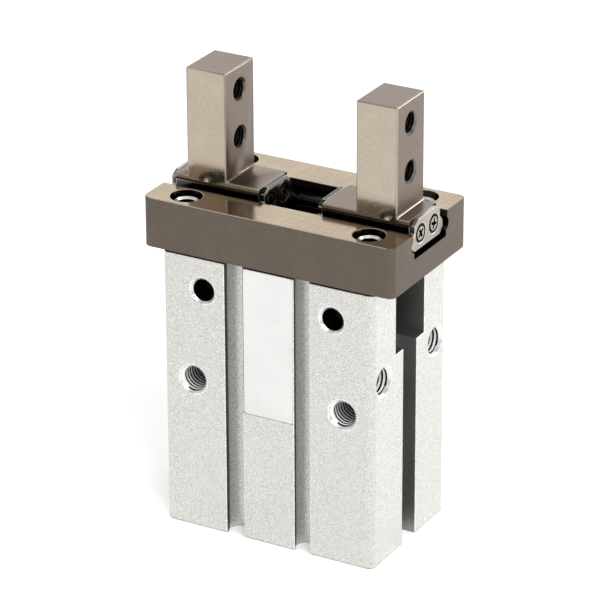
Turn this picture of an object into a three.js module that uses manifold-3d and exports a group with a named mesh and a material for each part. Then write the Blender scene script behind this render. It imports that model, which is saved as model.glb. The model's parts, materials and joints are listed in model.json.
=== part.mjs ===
// Double-acting pneumatic gripper with two parallel fingers, 20 mm bore. Millimetres, +Z up.
// The origin is the centre of the body's bottom face, +X runs along the finger stroke and -Y is the front.
// It is drawn fully open: the piston is up, the levers lean outwards and the fingers stand apart.
import * as THREE from "three";
import { mergeVertices } from "three/addons/utils/BufferGeometryUtils.js";
import Module from "manifold-3d";

const wasm = await Module();
wasm.setup();

// ---- Driving dimensions -------------------------------------------------------------------------

const HEIGHT = 84.8;
const DEPTH = 27.6;
const FRONT = -DEPTH / 2;
const FIT = 0.05; // radial play between pieces that move or slide together

const BODY = { width: 42.5, height: 53.3, corner: 1.3 };
const GUIDE = { width: 50, top: 62.7, corner: 1.3 };
const CHANNEL = { half: 6.4, lowerHalf: 6.0, floor: 57.9 };
const LEVER_WINDOW = { half: 4.1, y: 2.9 }; // in the guide's floor, under each finger
const BALL = { radius: 1.15, count: 8, y: 5.75, z: 60.3 };
const GROOVE_RADIUS = BALL.radius + FIT;

const STROKE = 2.5; // each finger moves this far either side of mid stroke
const FINGER = { inner: 13, width: 8, half: 5.0, holeRadius: 2.0, holes: [71.4, 80.4] };
const CARRIAGE = { inner: 6.2, outer: 23.6, bottom: 58.7, top: 64.4 };
const NOTCH = { half: 2.6, top: 61.6 }; // in the carriage's underside, for the lever's head
const PLATE = { thickness: 0.8, screwY: 2.45, screwZ: 61.5, headRadius: 1.7, holeRadius: 1.0 };
const PLATE_RIM = { shoulder: 3.3, neck: 4.75, ear: 5.8, earTop: 61.0, earBottom: 59.6, bottom: 58.75 };
const PLATE_SCREW = { length: 3.8, radius: 0.85, slotReach: 0.95, slotHalf: 0.22, slotDepth: 0.5 };

const PIVOT = { x: 13.0, z: 46.9 }; // lever shaft
const ARM = {
  up: 12.6, upHalf: 2.4, footHalf: 2.6, neckHalf: 1.25, headRadius: 1.7,
  in: 8.0, inHalf: 1.9, hubRadius: 4.0, hubHalf: 4.9,
};
const LEAN = Math.asin(STROKE / ARM.up); // lever angle from mid stroke to fully open
const PIN_X = PIVOT.x - ARM.in;
const PIN_Z = PIVOT.z + ARM.in * Math.tan(LEAN);
const JOINT_PIN = { radius: 1.25, half: 4.8, rollerRadius: 1.9, rollerHalf: 1.95 };
const FORK = { half: 3.1, end: 9.8, slotHalf: 1.95, slotStart: 6.35 };

const CAVITY = { half: 5.4, floor: 38.8 };
const BORE = { radius: 10, top: 34 };
const ROD_RADIUS = 3;
const SEAL_POCKET = { radius: 5.3, bottom: 35.4, split: 37.4 };
const SHAFT = { radius: 2.0, half: 9.6, hole: 2.1 };
const BUSH_RADIUS = 2.5;
const GUIDE_SCREW = {
  x: 18.3, y: 9.9, tip: 48, seat: 59.1, headTop: 61.7,
  radius: 1.5, headRadius: 2.75, socket: 1.45,
};
const GUIDE_SCREW_HOLES = { counterbore: 2.9, clearance: 1.7, tapped: 1.6 };

const PORT = { y: 9.7, z: 35.4, depth: 5.2 };
const M5_RADIUS = 2.5;
const FACE_HOLE = { x: 15.2, z: 29.2, depth: 8 };
const BASE_HOLE = { x: 13.8, y: 9.4, depth: 7.5 };
const PASSAGE = { radius: 0.6, upperY: -8.7, wellX: 18.9, wellY: 9.4, crossZ: 10 };
const PLUG = { radius: 0.95, bottom: 0.4, top: 2.2 };
const SWITCH_GROOVE = { radius: 2.1, depth: 1.8, left: [-8.55, -5.0], right: [5.45, 8.55] };
const SWITCH_SLOT = { half: 2.5, depth: 4.5 };
const LABEL = { left: -4.75, right: 5.2, bottom: 25.0, top: 52.9, recess: 0.2, thickness: 0.15 };

const PISTON = { bottom: 14.4, split: 20.5, magnetTop: 24.6, top: 32.3, radius: 9.85, hub: 5 };
const PISTON_GROOVE = {
  wearBottom: 1.6, wearTop: 4.6, wearDepth: 0.8,
  sealBottom: 2.4, sealTop: 5, sealDepth: 1.8,
};
const BOLT = {
  head: 3.3, headBottom: 14.6, headTop: 17.05, radius: 1.5, tip: 28,
  pocket: 3.7, socket: 1.7,
};
const ROD_END = { spigot: 1.6, shoulder: 44.9, top: 48, socketTop: 28.5 };
const CROSSHEAD = { half: 7.4, depthHalf: 4.9, bottom: 45, top: 51.2, slotStart: 2.4, slotHalf: 2.1 };
const BUMPER = { inner: 4.2, upper: [8, 32.4], lower: [7, 11.1] };
const CAP = { bottom: 2.4, top: 8, radius: 9.95, dishRadius: 5.5, dishDepth: 1.2, seal: [2.0, 3.8, 1.3] };
const RING_GROOVE = { bottom: 1.2, top: 2.3, radius: 10.8 };
const CLIP = {
  inner: 9.1, outer: 10.65, gapHalf: 1.4,
  eyeX: 2.9, eyeY: -8.3, eyeRadius: 1.45, eyeHole: 0.6,
};

const FINE = 24;
const MEDIUM = 16;
const COARSE = 12;

// ---- Solid helpers ------------------------------------------------------------------------------

// A closed three.js geometry as a solid: only positions are kept, and triangles with no area go.
function solid(geometry) {
  const bare = new THREE.BufferGeometry();
  const source = geometry.index ? geometry.toNonIndexed() : geometry;
  bare.setAttribute("position", source.getAttribute("position"));
  const merged = mergeVertices(bare, 1e-3);
  const index = merged.index.array;
  const kept = [];
  for (let i = 0; i < index.length; i += 3) {
    const [a, b, c] = [index[i], index[i + 1], index[i + 2]];
    if (a !== b && b !== c && c !== a) kept.push(a, b, c);
  }
  const vertProperties = merged.attributes.position.array;
  const made = new wasm.Manifold(
    new wasm.Mesh({ numProp: 3, vertProperties, triVerts: new Uint32Array(kept) }),
  );
  if (made.volume() > 0) return made;
  for (let i = 0; i < kept.length; i += 3) {
    [kept[i], kept[i + 1]] = [kept[i + 1], kept[i]];
  }
  return new wasm.Manifold(
    new wasm.Mesh({ numProp: 3, vertProperties, triVerts: new Uint32Array(kept) }),
  );
}

function geometryOf(made) {
  const mesh = made.getMesh();
  const positions = new Float32Array(mesh.numVert * 3);
  for (let i = 0; i < mesh.numVert; i++) {
    const start = i * mesh.numProp;
    positions.set(mesh.vertProperties.subarray(start, start + 3), i * 3);
  }
  return new THREE.BufferGeometry()
    .setAttribute("position", new THREE.BufferAttribute(positions, 3))
    .setIndex(new THREE.BufferAttribute(mesh.triVerts, 1));
}

function joined(first, ...others) {
  return others.reduce((whole, next) => whole.add(next), first);
}

function cut(first, ...tools) {
  return tools.reduce((whole, tool) => whole.subtract(tool), first);
}

// A block between two values on each axis, given in either order.
function block([x0, x1], [y0, y1], [z0, z1]) {
  const size = [Math.abs(x1 - x0), Math.abs(y1 - y0), Math.abs(z1 - z0)];
  const geometry = new THREE.BoxGeometry(...size);
  return solid(geometry.translate((x0 + x1) / 2, (y0 + y1) / 2, (z0 + z1) / 2));
}

const AXES = {
  X: new THREE.Matrix4().makeRotationZ(-Math.PI / 2),
  Y: new THREE.Matrix4(),
  Z: new THREE.Matrix4().makeRotationX(Math.PI / 2),
};

// A turned piece: [radius, place along the axis] pairs, revolved about an axis through the centre.
function turned(axis, profile, centre = [0, 0, 0], segments = MEDIUM) {
  const points = profile.map(([radius, along]) => new THREE.Vector2(radius, along));
  const geometry = new THREE.LatheGeometry(points, segments);
  return solid(geometry.applyMatrix4(AXES[axis]).translate(...centre));
}

function rod(axis, radius, [from, to], centre, segments) {
  const profile = [[0, from], [radius, from], [radius, to], [0, to]];
  return turned(axis, profile, centre, segments);
}

function ring(axis, inner, outer, [from, to], centre, segments) {
  const profile = [[inner, from], [outer, from], [outer, to], [inner, to], [inner, from]];
  return turned(axis, profile, centre, segments);
}

// The tool for a hole's countersunk mouth: a short cone that widens as it reaches the face.
function mouth(axis, radius, face, direction, centre) {
  const grow = 0.35;
  const profile = [
    [0, face - direction * grow],
    [radius, face - direction * grow],
    [radius + 2 * grow, face + direction * grow],
    [0, face + direction * grow],
  ];
  return turned(axis, profile, centre, MEDIUM);
}

const EXTRUDE_BASES = {
  X: [[0, 1, 0], [0, 0, 1], [1, 0, 0]],
  Y: [[1, 0, 0], [0, 0, 1], [0, -1, 0]],
  Z: [[1, 0, 0], [0, 1, 0], [0, 0, 1]],
};

// An outline in the plane across an axis, given depth along that axis.
function extruded(axis, shape, [from, to], curveSegments = 2) {
  const depth = Math.abs(to - from);
  const geometry = new THREE.ExtrudeGeometry(shape, { depth, bevelEnabled: false, curveSegments });
  const basis = EXTRUDE_BASES[axis].map((direction) => new THREE.Vector3(...direction));
  geometry.applyMatrix4(new THREE.Matrix4().makeBasis(...basis));
  const start = axis === "Y" ? Math.max(from, to) : Math.min(from, to);
  return solid(geometry.translate(...offsetAlong(axis, start)));
}

function offsetAlong(axis, distance) {
  return [axis === "X" ? distance : 0, axis === "Y" ? distance : 0, axis === "Z" ? distance : 0];
}

function outline(points) {
  return new THREE.Shape(points.map(([u, v]) => new THREE.Vector2(u, v)));
}

function roundedRectangle(width, depth, corner) {
  const shape = new THREE.Shape();
  const [x, y] = [width / 2 - corner, depth / 2 - corner];
  shape.absarc(x, y, corner, 0, Math.PI / 2);
  shape.absarc(-x, y, corner, Math.PI / 2, Math.PI);
  shape.absarc(-x, -y, corner, Math.PI, 1.5 * Math.PI);
  shape.absarc(x, -y, corner, 1.5 * Math.PI, 2 * Math.PI);
  return shape;
}

const SIDES = { left: -1, right: 1 };
const FACES = { front: -1, rear: 1 };

// ---- Body and guide -----------------------------------------------------------------------------

// Round-bottomed groove for a position switch, the full height of the front or rear face.
function switchGroove(sideName, face) {
  const [from, to] = SWITCH_GROOVE[sideName];
  const edge = face * -FRONT;
  const centre = edge - face * SWITCH_GROOVE.depth;
  const span = [-1, BODY.height + 1];
  return joined(
    block([from, to], [edge + face, centre], span),
    rod("Z", SWITCH_GROOVE.radius, span, [(from + to) / 2, centre, 0], COARSE),
  );
}

// Drilled ways that carry air from the two ports to the chambers above and below the piston.
function airPassages() {
  const { radius, upperY, wellX, wellY, crossZ } = PASSAGE;
  const portEnd = BODY.width / 2 - PORT.depth;
  const upper = rod("X", radius, [2, portEnd + 0.2], [0, upperY, BORE.top - 0.5], COARSE);
  const well = rod("Z", radius, [-1, BORE.top], [wellX, wellY, 0], COARSE);
  const plugSeat = rod("Z", PLUG.radius + FIT, [-1, PLUG.top + FIT], [wellX, wellY, 0], COARSE);
  const length = Math.hypot(wellX, wellY) - BORE.radius + 1;
  const cross = new THREE.CylinderGeometry(radius, radius, length, COARSE)
    .translate(0, length / 2, 0)
    .rotateZ(Math.PI / 2)
    .rotateZ(Math.atan2(wellY, wellX))
    .translate(wellX, wellY, crossZ);
  return [upper, well, plugSeat, solid(cross)];
}

function cylinderBody() {
  const half = BODY.width / 2;
  const tools = [
    block([-half - 1, half + 1], [-CAVITY.half, CAVITY.half], [CAVITY.floor, BODY.height + 1]),
    rod("Z", BORE.radius, [-1, BORE.top], [0, 0, 0], FINE),
    rod("Z", RING_GROOVE.radius, [RING_GROOVE.bottom, RING_GROOVE.top], [0, 0, 0], FINE),
    rod("Z", ROD_RADIUS + 2 * FIT, [BORE.top - 1, CAVITY.floor + 1], [0, 0, 0], MEDIUM),
    rod("Z", SEAL_POCKET.radius, [SEAL_POCKET.bottom, CAVITY.floor + 1], [0, 0, 0], MEDIUM),
    ...airPassages(),
  ];
  for (const [sideName, side] of Object.entries(SIDES)) {
    const [outer, inner] = [side * (half + 1), side * (half - SWITCH_SLOT.depth)];
    const shaftHole = [side * PIVOT.x, 0, PIVOT.z];
    tools.push(block([outer, inner], [-SWITCH_SLOT.half, SWITCH_SLOT.half], [-1, CAVITY.floor + 1]));
    tools.push(rod("Y", SHAFT.hole, [-DEPTH, DEPTH], shaftHole, MEDIUM));
    for (const face of Object.values(FACES)) {
      const edge = face * -FRONT;
      tools.push(switchGroove(sideName, face));
      const faceHole = [side * FACE_HOLE.x, 0, FACE_HOLE.z];
      const faceSpan = [edge + face, edge - face * FACE_HOLE.depth].sort((a, b) => a - b);
      tools.push(rod("Y", M5_RADIUS, faceSpan, faceHole, MEDIUM));
      tools.push(mouth("Y", M5_RADIUS, edge, face, faceHole));
      tools.push(mouth("Y", SHAFT.hole, edge, face, shaftHole));
      const baseHole = [side * BASE_HOLE.x, face * BASE_HOLE.y, 0];
      tools.push(rod("Z", M5_RADIUS, [-1, BASE_HOLE.depth], baseHole, MEDIUM));
      const screwHole = [side * GUIDE_SCREW.x, face * GUIDE_SCREW.y, 0];
      const screwSpan = [GUIDE_SCREW.tip - 1, BODY.height + 1];
      tools.push(rod("Z", GUIDE_SCREW_HOLES.tapped, screwSpan, screwHole, COARSE));
    }
  }
  for (const face of Object.values(FACES)) {
    const port = [0, face * PORT.y, PORT.z];
    tools.push(rod("X", M5_RADIUS, [half - PORT.depth, half + 1], port, MEDIUM));
    tools.push(mouth("X", M5_RADIUS, half, 1, port));
  }
  tools.push(
    block(
      [LABEL.left - FIT, LABEL.right + FIT],
      [FRONT - 1, FRONT + LABEL.recess],
      [LABEL.bottom - FIT, LABEL.top + FIT],
    ),
  );
  const blank = roundedRectangle(BODY.width, DEPTH, BODY.corner);
  return cut(extruded("Z", blank, [0, BODY.height]), ...tools);
}

// The channel seen from its end: straight lips, a round ball groove each side, then the floor.
function channelOutline() {
  const { half, lowerHalf, floor } = CHANNEL;
  const lip = Math.acos((half - BALL.y) / GROOVE_RADIUS);
  const sill = Math.acos((lowerHalf - BALL.y) / GROOVE_RADIUS);
  const shape = new THREE.Shape();
  shape.moveTo(-lowerHalf, floor);
  shape.lineTo(lowerHalf, floor);
  shape.absarc(BALL.y, BALL.z, GROOVE_RADIUS, -sill, lip);
  shape.lineTo(half, GUIDE.top + 1);
  shape.lineTo(-half, GUIDE.top + 1);
  shape.absarc(-BALL.y, BALL.z, GROOVE_RADIUS, Math.PI - lip, Math.PI + sill);
  return shape;
}

function guideRail() {
  const half = GUIDE.width / 2;
  const tools = [extruded("X", channelOutline(), [-half - 1, half + 1], 4)];
  for (const side of Object.values(SIDES)) {
    const centre = side * PIVOT.x;
    tools.push(
      block(
        [centre - LEVER_WINDOW.half, centre + LEVER_WINDOW.half],
        [-LEVER_WINDOW.y, LEVER_WINDOW.y],
        [BODY.height - 1, CHANNEL.floor + 1],
      ),
    );
    for (const face of Object.values(FACES)) {
      const centreLine = [side * GUIDE_SCREW.x, face * GUIDE_SCREW.y, 0];
      const { counterbore, clearance } = GUIDE_SCREW_HOLES;
      tools.push(rod("Z", counterbore, [GUIDE_SCREW.seat, GUIDE.top + 1], centreLine));
      tools.push(rod("Z", clearance, [BODY.height - 1, GUIDE.top], centreLine, COARSE));
    }
  }
  const blank = extruded("Z", roundedRectangle(GUIDE.width, DEPTH, GUIDE.corner), [0, GUIDE.top]);
  const underside = block([-half - 1, half + 1], [-DEPTH, DEPTH], [-1, BODY.height]);
  return cut(blank, underside, ...tools);
}

// Socket head cap screw, head up.
function guideScrew(side, face) {
  const { x, y, headRadius, headTop, seat, tip, radius } = GUIDE_SCREW;
  const centre = [side * x, face * y, 0];
  const profile = [
    [0, tip],
    [radius, tip],
    [radius, seat],
    [headRadius, seat],
    [headRadius, headTop - 0.3],
    [headRadius - 0.3, headTop],
    [0, headTop],
  ];
  const socket = rod("Z", GUIDE_SCREW.socket, [headTop - 1.6, headTop + 1], centre, 6);
  return cut(turned("Z", profile, centre, MEDIUM), socket);
}

function labelPlate() {
  const depth = [FRONT + LABEL.recess - LABEL.thickness, FRONT + LABEL.recess];
  return block([LABEL.left, LABEL.right], depth, [LABEL.bottom, LABEL.top]);
}

// ---- Lower end of the cylinder ------------------------------------------------------------------

function endCap() {
  const { bottom, top, radius, dishRadius, dishDepth } = CAP;
  const [sealBottom, sealTop, sealDepth] = CAP.seal;
  const profile = [
    [0, bottom + dishDepth],
    [dishRadius, bottom + dishDepth],
    [dishRadius + 0.5, bottom],
    [radius, bottom],
    [radius, bottom + sealBottom],
    [radius - sealDepth, bottom + sealBottom],
    [radius - sealDepth, bottom + sealTop],
    [radius, bottom + sealTop],
    [radius, top],
    [0, top],
  ];
  return turned("Z", profile, [0, 0, 0], FINE);
}

// Ring of round section in the cap's groove, drawn with eight flats.
function endCapSeal() {
  const [bottom, top, depth] = CAP.seal;
  const section = depth / 2 - FIT / 2;
  const middle = CAP.radius - section;
  const height = CAP.bottom + (bottom + top) / 2;
  const flats = 8;
  const profile = [];
  for (let i = 0; i < flats; i++) {
    const angle = (i / flats) * 2 * Math.PI;
    profile.push([middle + section * Math.cos(angle), height + section * Math.sin(angle)]);
  }
  return turned("Z", [...profile, profile[0]], [0, 0, 0], FINE);
}

// Internal C ring with two eyes for pliers beside its gap.
function retainingRing() {
  const [bottom, top] = [RING_GROOVE.bottom + FIT, RING_GROOVE.top - FIT];
  const band = ring("Z", CLIP.inner, CLIP.outer, [bottom, top], [0, 0, 0], FINE);
  const gap = block([-CLIP.gapHalf, CLIP.gapHalf], [-CLIP.outer - 1, 0], [bottom - 1, top + 1]);
  const parts = [cut(band, gap)];
  for (const side of Object.values(SIDES)) {
    const centre = [side * CLIP.eyeX, CLIP.eyeY, 0];
    const eye = rod("Z", CLIP.eyeRadius, [bottom, top], centre, COARSE);
    parts.push(cut(eye, rod("Z", CLIP.eyeHole, [bottom - 1, top + 1], centre, COARSE)));
  }
  return joined(...parts);
}

function passagePlug() {
  return rod("Z", PLUG.radius, [PLUG.bottom, PLUG.top], [PASSAGE.wellX, PASSAGE.wellY, 0], COARSE);
}

// Lip seal round the rod, held down in its pocket by a washer.
function rodSeal() {
  const { radius, bottom, split } = SEAL_POCKET;
  return ring("Z", ROD_RADIUS + FIT, radius - FIT, [bottom + FIT, split]);
}

function rodSealWasher() {
  const { radius, split } = SEAL_POCKET;
  return ring("Z", ROD_RADIUS + 2 * FIT, radius - FIT, [split + FIT, CAVITY.floor - 2 * FIT]);
}

// Rubber ring against one end of the bore, where the piston lands.
function bumper([outer, face], seat) {
  return ring("Z", BUMPER.inner, outer, [face, seat].sort((a, b) => a - b));
}

// ---- Piston assembly ----------------------------------------------------------------------------

function pistonLower() {
  const { bottom, split, magnetTop, radius } = PISTON;
  const { wearBottom, wearTop, wearDepth } = PISTON_GROOVE;
  const profile = [
    [BOLT.pocket, bottom],
    [radius - 0.4, bottom],
    [radius, bottom + 0.4],
    [radius, bottom + wearBottom],
    [radius - wearDepth, bottom + wearBottom],
    [radius - wearDepth, bottom + wearTop],
    [radius, bottom + wearTop],
    [radius, split],
    [PISTON.hub, split],
    [PISTON.hub, magnetTop - FIT],
    [ROD_RADIUS - 0.4, magnetTop - FIT],
    [ROD_RADIUS - 0.4, BOLT.headTop + FIT],
    [BOLT.pocket, BOLT.headTop + FIT],
    [BOLT.pocket, bottom],
  ];
  return turned("Z", profile, [0, 0, 0], FINE);
}

function pistonUpper() {
  const { magnetTop, top, radius } = PISTON;
  const { sealBottom, sealTop, sealDepth } = PISTON_GROOVE;
  const profile = [
    [ROD_RADIUS - 0.4, magnetTop],
    [radius, magnetTop],
    [radius, magnetTop + sealBottom],
    [radius - sealDepth, magnetTop + sealBottom],
    [radius - sealDepth, magnetTop + sealTop],
    [radius, magnetTop + sealTop],
    [radius, top - 0.4],
    [radius - 0.4, top],
    [ROD_RADIUS - 0.4, top],
    [ROD_RADIUS - 0.4, magnetTop],
  ];
  return turned("Z", profile, [0, 0, 0], FINE);
}

function wearRing() {
  const { wearBottom, wearTop, wearDepth } = PISTON_GROOVE;
  const span = [PISTON.bottom + wearBottom + FIT, PISTON.bottom + wearTop - FIT];
  const inner = PISTON.radius - wearDepth + FIT;
  return ring("Z", inner, BORE.radius - FIT, span, [0, 0, 0], FINE);
}

function magnetRing() {
  const { split, magnetTop, radius, hub } = PISTON;
  return ring("Z", hub + FIT, radius - 0.3, [split + FIT, magnetTop - FIT], [0, 0, 0], FINE);
}

// Lip seal with a notch in its crown, sitting in the upper piston's groove.
function pistonSeal() {
  const { magnetTop, radius } = PISTON;
  const { sealBottom, sealTop, sealDepth } = PISTON_GROOVE;
  const [low, high] = [magnetTop + sealBottom + FIT, magnetTop + sealTop - FIT];
  const inner = radius - sealDepth + FIT;
  const profile = [
    [inner, low],
    [radius, low],
    [radius + 0.12, (low + high) / 2 + 0.4],
    [radius - 0.1, high],
    [radius - 0.8, high - 0.9],
    [inner, high],
    [inner, low],
  ];
  return turned("Z", profile, [0, 0, 0], FINE);
}

// The rod stands on the upper piston. Its lower end, hollow for the bolt, runs down through it.
function pistonRod() {
  const { spigot, shoulder, top, socketTop } = ROD_END;
  const neck = ROD_RADIUS - 0.45;
  const bottom = BOLT.headTop + 2 * FIT;
  const profile = [
    [0, socketTop],
    [spigot, socketTop],
    [spigot, bottom],
    [neck, bottom],
    [neck, PISTON.top + FIT],
    [ROD_RADIUS, PISTON.top + FIT],
    [ROD_RADIUS, shoulder],
    [spigot, shoulder],
    [spigot, top],
    [0, top],
  ];
  return turned("Z", profile, [0, 0, 0], MEDIUM);
}

function pistonBolt() {
  const { head, headBottom, headTop, radius, tip } = BOLT;
  const profile = [
    [0, headBottom],
    [head, headBottom],
    [head, headTop],
    [radius, headTop],
    [radius, tip],
    [0, tip],
  ];
  const socket = rod("Z", BOLT.socket, [headBottom - 1, headBottom + 1.4], [0, 0, 0], 6);
  return cut(turned("Z", profile, [0, 0, 0], MEDIUM), socket);
}

// Crosshead on the end of the rod: a slot each side takes the forked end of a lever.
function jointBlock() {
  const { half, depthHalf, bottom, top, slotStart, slotHalf } = CROSSHEAD;
  const tools = [rod("Z", ROD_END.spigot + FIT, [bottom - 1, ROD_END.top + FIT], [0, 0, 0], MEDIUM)];
  for (const side of Object.values(SIDES)) {
    const slot = [side * slotStart, side * (half + 1)];
    tools.push(block(slot, [-slotHalf, slotHalf], [bottom - 1, top + 1]));
    tools.push(rod("Y", JOINT_PIN.radius + FIT, [-6, 6], [side * PIN_X, 0, PIN_Z], COARSE));
  }
  return cut(block([-half, half], [-depthHalf, depthHalf], [bottom, top]), ...tools);
}

function jointPin(side) {
  const { radius, half } = JOINT_PIN;
  return rod("Y", radius, [-half, half], [side * PIN_X, 0, PIN_Z], COARSE);
}

function jointRoller(side) {
  const { radius, rollerRadius, rollerHalf } = JOINT_PIN;
  const span = [-rollerHalf, rollerHalf];
  return ring("Y", radius + FIT, rollerRadius, span, [side * PIN_X, 0, PIN_Z], COARSE);
}

// ---- Levers -------------------------------------------------------------------------------------

// Bell crank drawn upright at mid stroke about its own shaft, then leaned to the open position.
function lever(side) {
  const { footHalf, neckHalf, up } = ARM;
  const upArm = outline([[-footHalf, 0], [footHalf, 0], [neckHalf, up - 0.5], [-neckHalf, up - 0.5]]);
  const made = cut(
    joined(
      rod("Y", ARM.hubRadius, [-ARM.hubHalf, ARM.hubHalf], [0, 0, 0], MEDIUM),
      extruded("Y", upArm, [-ARM.upHalf, ARM.upHalf]),
      rod("Y", ARM.headRadius, [-ARM.upHalf, ARM.upHalf], [0, 0, ARM.up], COARSE),
      block([0, -side * FORK.end], [-ARM.inHalf, ARM.inHalf], [-FORK.half, FORK.half]),
    ),
    rod("Y", FORK.slotHalf, [-6, 6], [-side * FORK.slotStart, 0, 0], COARSE),
    block([-side * FORK.slotStart, -side * (FORK.end + 1)], [-6, 6], [-FORK.slotHalf, FORK.slotHalf]),
    rod("Y", BUSH_RADIUS + FIT, [-6, 6], [0, 0, 0], MEDIUM),
  );
  const leaned = geometryOf(made).rotateY(side * LEAN).translate(side * PIVOT.x, 0, PIVOT.z);
  return solid(leaned);
}

function leverBush(side) {
  const centre = [side * PIVOT.x, 0, PIVOT.z];
  return ring("Y", SHAFT.radius + FIT, BUSH_RADIUS, [-ARM.hubHalf, ARM.hubHalf], centre, MEDIUM);
}

function leverShaft(side) {
  return rod("Y", SHAFT.radius, [-SHAFT.half, SHAFT.half], [side * PIVOT.x, 0, PIVOT.z], MEDIUM);
}

// ---- Fingers ------------------------------------------------------------------------------------

const PLATE_PLACES = {
  inner: { face: CARRIAGE.inner, outward: -1 },
  outer: { face: CARRIAGE.outer, outward: 1 },
};

// Carriage and post in one piece, with ball grooves along the carriage and a notch for the lever's head.
function finger(side) {
  const { inner, outer, bottom, top } = CARRIAGE;
  const { half } = FINGER;
  const headX = side * (PIVOT.x + STROKE);
  const notchHalf = ARM.headRadius + FIT;
  const postFaces = [side * FINGER.inner, side * (FINGER.inner + FINGER.width)];
  const tools = [
    block([headX - notchHalf, headX + notchHalf], [-NOTCH.half, NOTCH.half], [bottom - 1, NOTCH.top]),
  ];
  for (const face of Object.values(FACES)) {
    tools.push(rod("X", GROOVE_RADIUS, [-30, 30], [0, face * BALL.y, BALL.z], COARSE));
    for (const place of Object.values(PLATE_PLACES)) {
      const mouthX = side * (place.face + place.outward);
      const endX = side * (place.face - place.outward * (PLATE_SCREW.length - 0.5));
      const span = [mouthX, endX].sort((a, b) => a - b);
      const centre = [0, face * PLATE.screwY, PLATE.screwZ];
      tools.push(rod("X", PLATE.holeRadius, span, centre, COARSE));
    }
  }
  for (const height of FINGER.holes) {
    tools.push(rod("X", FINGER.holeRadius, [-30, 30], [0, 0, height], MEDIUM));
  }
  const blank = joined(
    block([side * inner, side * outer], [-half, half], [bottom, top]),
    block(postFaces, [-half, half], [top - 1, HEIGHT]),
  );
  return cut(blank, ...tools);
}

function plateSpan(side, place) {
  const [near, far] = [place.face, place.face + place.outward * PLATE.thickness];
  return [side * near, side * far].sort((a, b) => a - b);
}

// Stop plate on the end of a carriage. Its ears keep the balls in their grooves.
function endPlate(side, place) {
  const { shoulder, neck, ear, earTop, earBottom, bottom } = PLATE_RIM;
  const rim = [
    [shoulder, CARRIAGE.top],
    [neck, CARRIAGE.top - 0.9],
    [neck, earTop + 1.1],
    [ear, earTop],
    [ear, earBottom],
    [neck, bottom],
  ];
  const mirrored = rim.map(([y, z]) => [-y, z]).reverse();
  const span = plateSpan(side, place);
  const tools = [];
  for (const face of Object.values(FACES)) {
    const centre = [0, face * PLATE.screwY, PLATE.screwZ];
    tools.push(screwCone(side, place, PLATE.headRadius + FIT, centre));
    tools.push(rod("X", PLATE.holeRadius, [span[0] - 1, span[1] + 1], centre, COARSE));
  }
  return cut(extruded("X", outline([...rim, ...mirrored]), span), ...tools);
}

// The countersink for a plate screw, carried a little past the plate's outer face.
function screwCone(side, place, radius, centre) {
  const outward = side * place.outward;
  const outerFace = side * (place.face + place.outward * PLATE.thickness);
  const profile = [
    [0, outerFace - outward * PLATE.thickness],
    [radius - PLATE.thickness, outerFace - outward * PLATE.thickness],
    [radius, outerFace],
    [radius, outerFace + outward],
    [0, outerFace + outward],
  ];
  return turned("X", profile, centre, COARSE);
}

function plateScrew(side, place, face) {
  const outward = side * place.outward;
  const outerFace = side * (place.face + place.outward * PLATE.thickness);
  const { length, radius, slotReach, slotHalf, slotDepth } = PLATE_SCREW;
  const [y, z] = [face * PLATE.screwY, PLATE.screwZ];
  const profile = [
    [0, outerFace - outward * length],
    [radius, outerFace - outward * length],
    [radius, outerFace - outward * PLATE.thickness],
    [PLATE.headRadius - PLATE.thickness, outerFace - outward * PLATE.thickness],
    [PLATE.headRadius, outerFace],
    [0, outerFace],
  ];
  const depth = [outerFace + outward, outerFace - outward * slotDepth];
  return cut(
    turned("X", profile, [0, y, z], COARSE),
    block(depth, [y - slotReach, y + slotReach], [z - slotHalf, z + slotHalf]),
    block(depth, [y - slotHalf, y + slotHalf], [z - slotReach, z + slotReach]),
  );
}

// A row of balls on one line. Each just bites into the next, so the row is one closed body.
function ballRow(side, face) {
  const { radius, count, y, z } = BALL;
  const first = CARRIAGE.inner + radius + 2 * FIT;
  const last = CARRIAGE.outer - radius - 2 * FIT;
  const pitch = (last - first) / (count - 1);
  const neck = Math.sqrt(radius ** 2 - (pitch / 2) ** 2);
  const [shoulder, reach] = [radius * Math.cos(0.45), radius * Math.sin(0.45)];
  const profile = [[0, first - radius]];
  for (let i = 0; i < count; i++) {
    const centre = first + i * pitch;
    if (i > 0) profile.push([neck, centre - pitch / 2]);
    profile.push([shoulder, centre - reach], [shoulder, centre + reach]);
  }
  profile.push([0, last + radius]);
  return turned("X", profile.map(([r, x]) => [r, side * x]), [0, face * y, z], 8);
}

// ---- Materials and assembly ---------------------------------------------------------------------

function metal(color, roughness) {
  return new THREE.MeshStandardMaterial({ color, roughness, metalness: 1 });
}

function soft(color, roughness) {
  return new THREE.MeshStandardMaterial({ color, roughness, metalness: 0 });
}

const LOOKS = {
  bodyAluminium: () => metal(0xd4d3d1, 0.55),
  guideSteel: () => metal(0x9c8e80, 0.4),
  fingerSteel: () => metal(0xa39a90, 0.38),
  plateSteel: () => metal(0xb3ada3, 0.35),
  screwSteel: () => metal(0xbfbab2, 0.25),
  darkSteel: () => metal(0x5c5a58, 0.45),
  polishedSteel: () => metal(0xc6c6c8, 0.15),
  bronze: () => metal(0xa07a45, 0.4),
  rubber: () => soft(0x1b1b1c, 0.75),
  magnet: () => soft(0x2b2826, 0.6),
  labelFilm: () => soft(0xf4f2ee, 0.5),
};

const gripper = new THREE.Group();

function place(name, made, look) {
  const mesh = new THREE.Mesh(geometryOf(made), LOOKS[look]());
  mesh.name = name;
  gripper.add(mesh);
}

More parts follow.
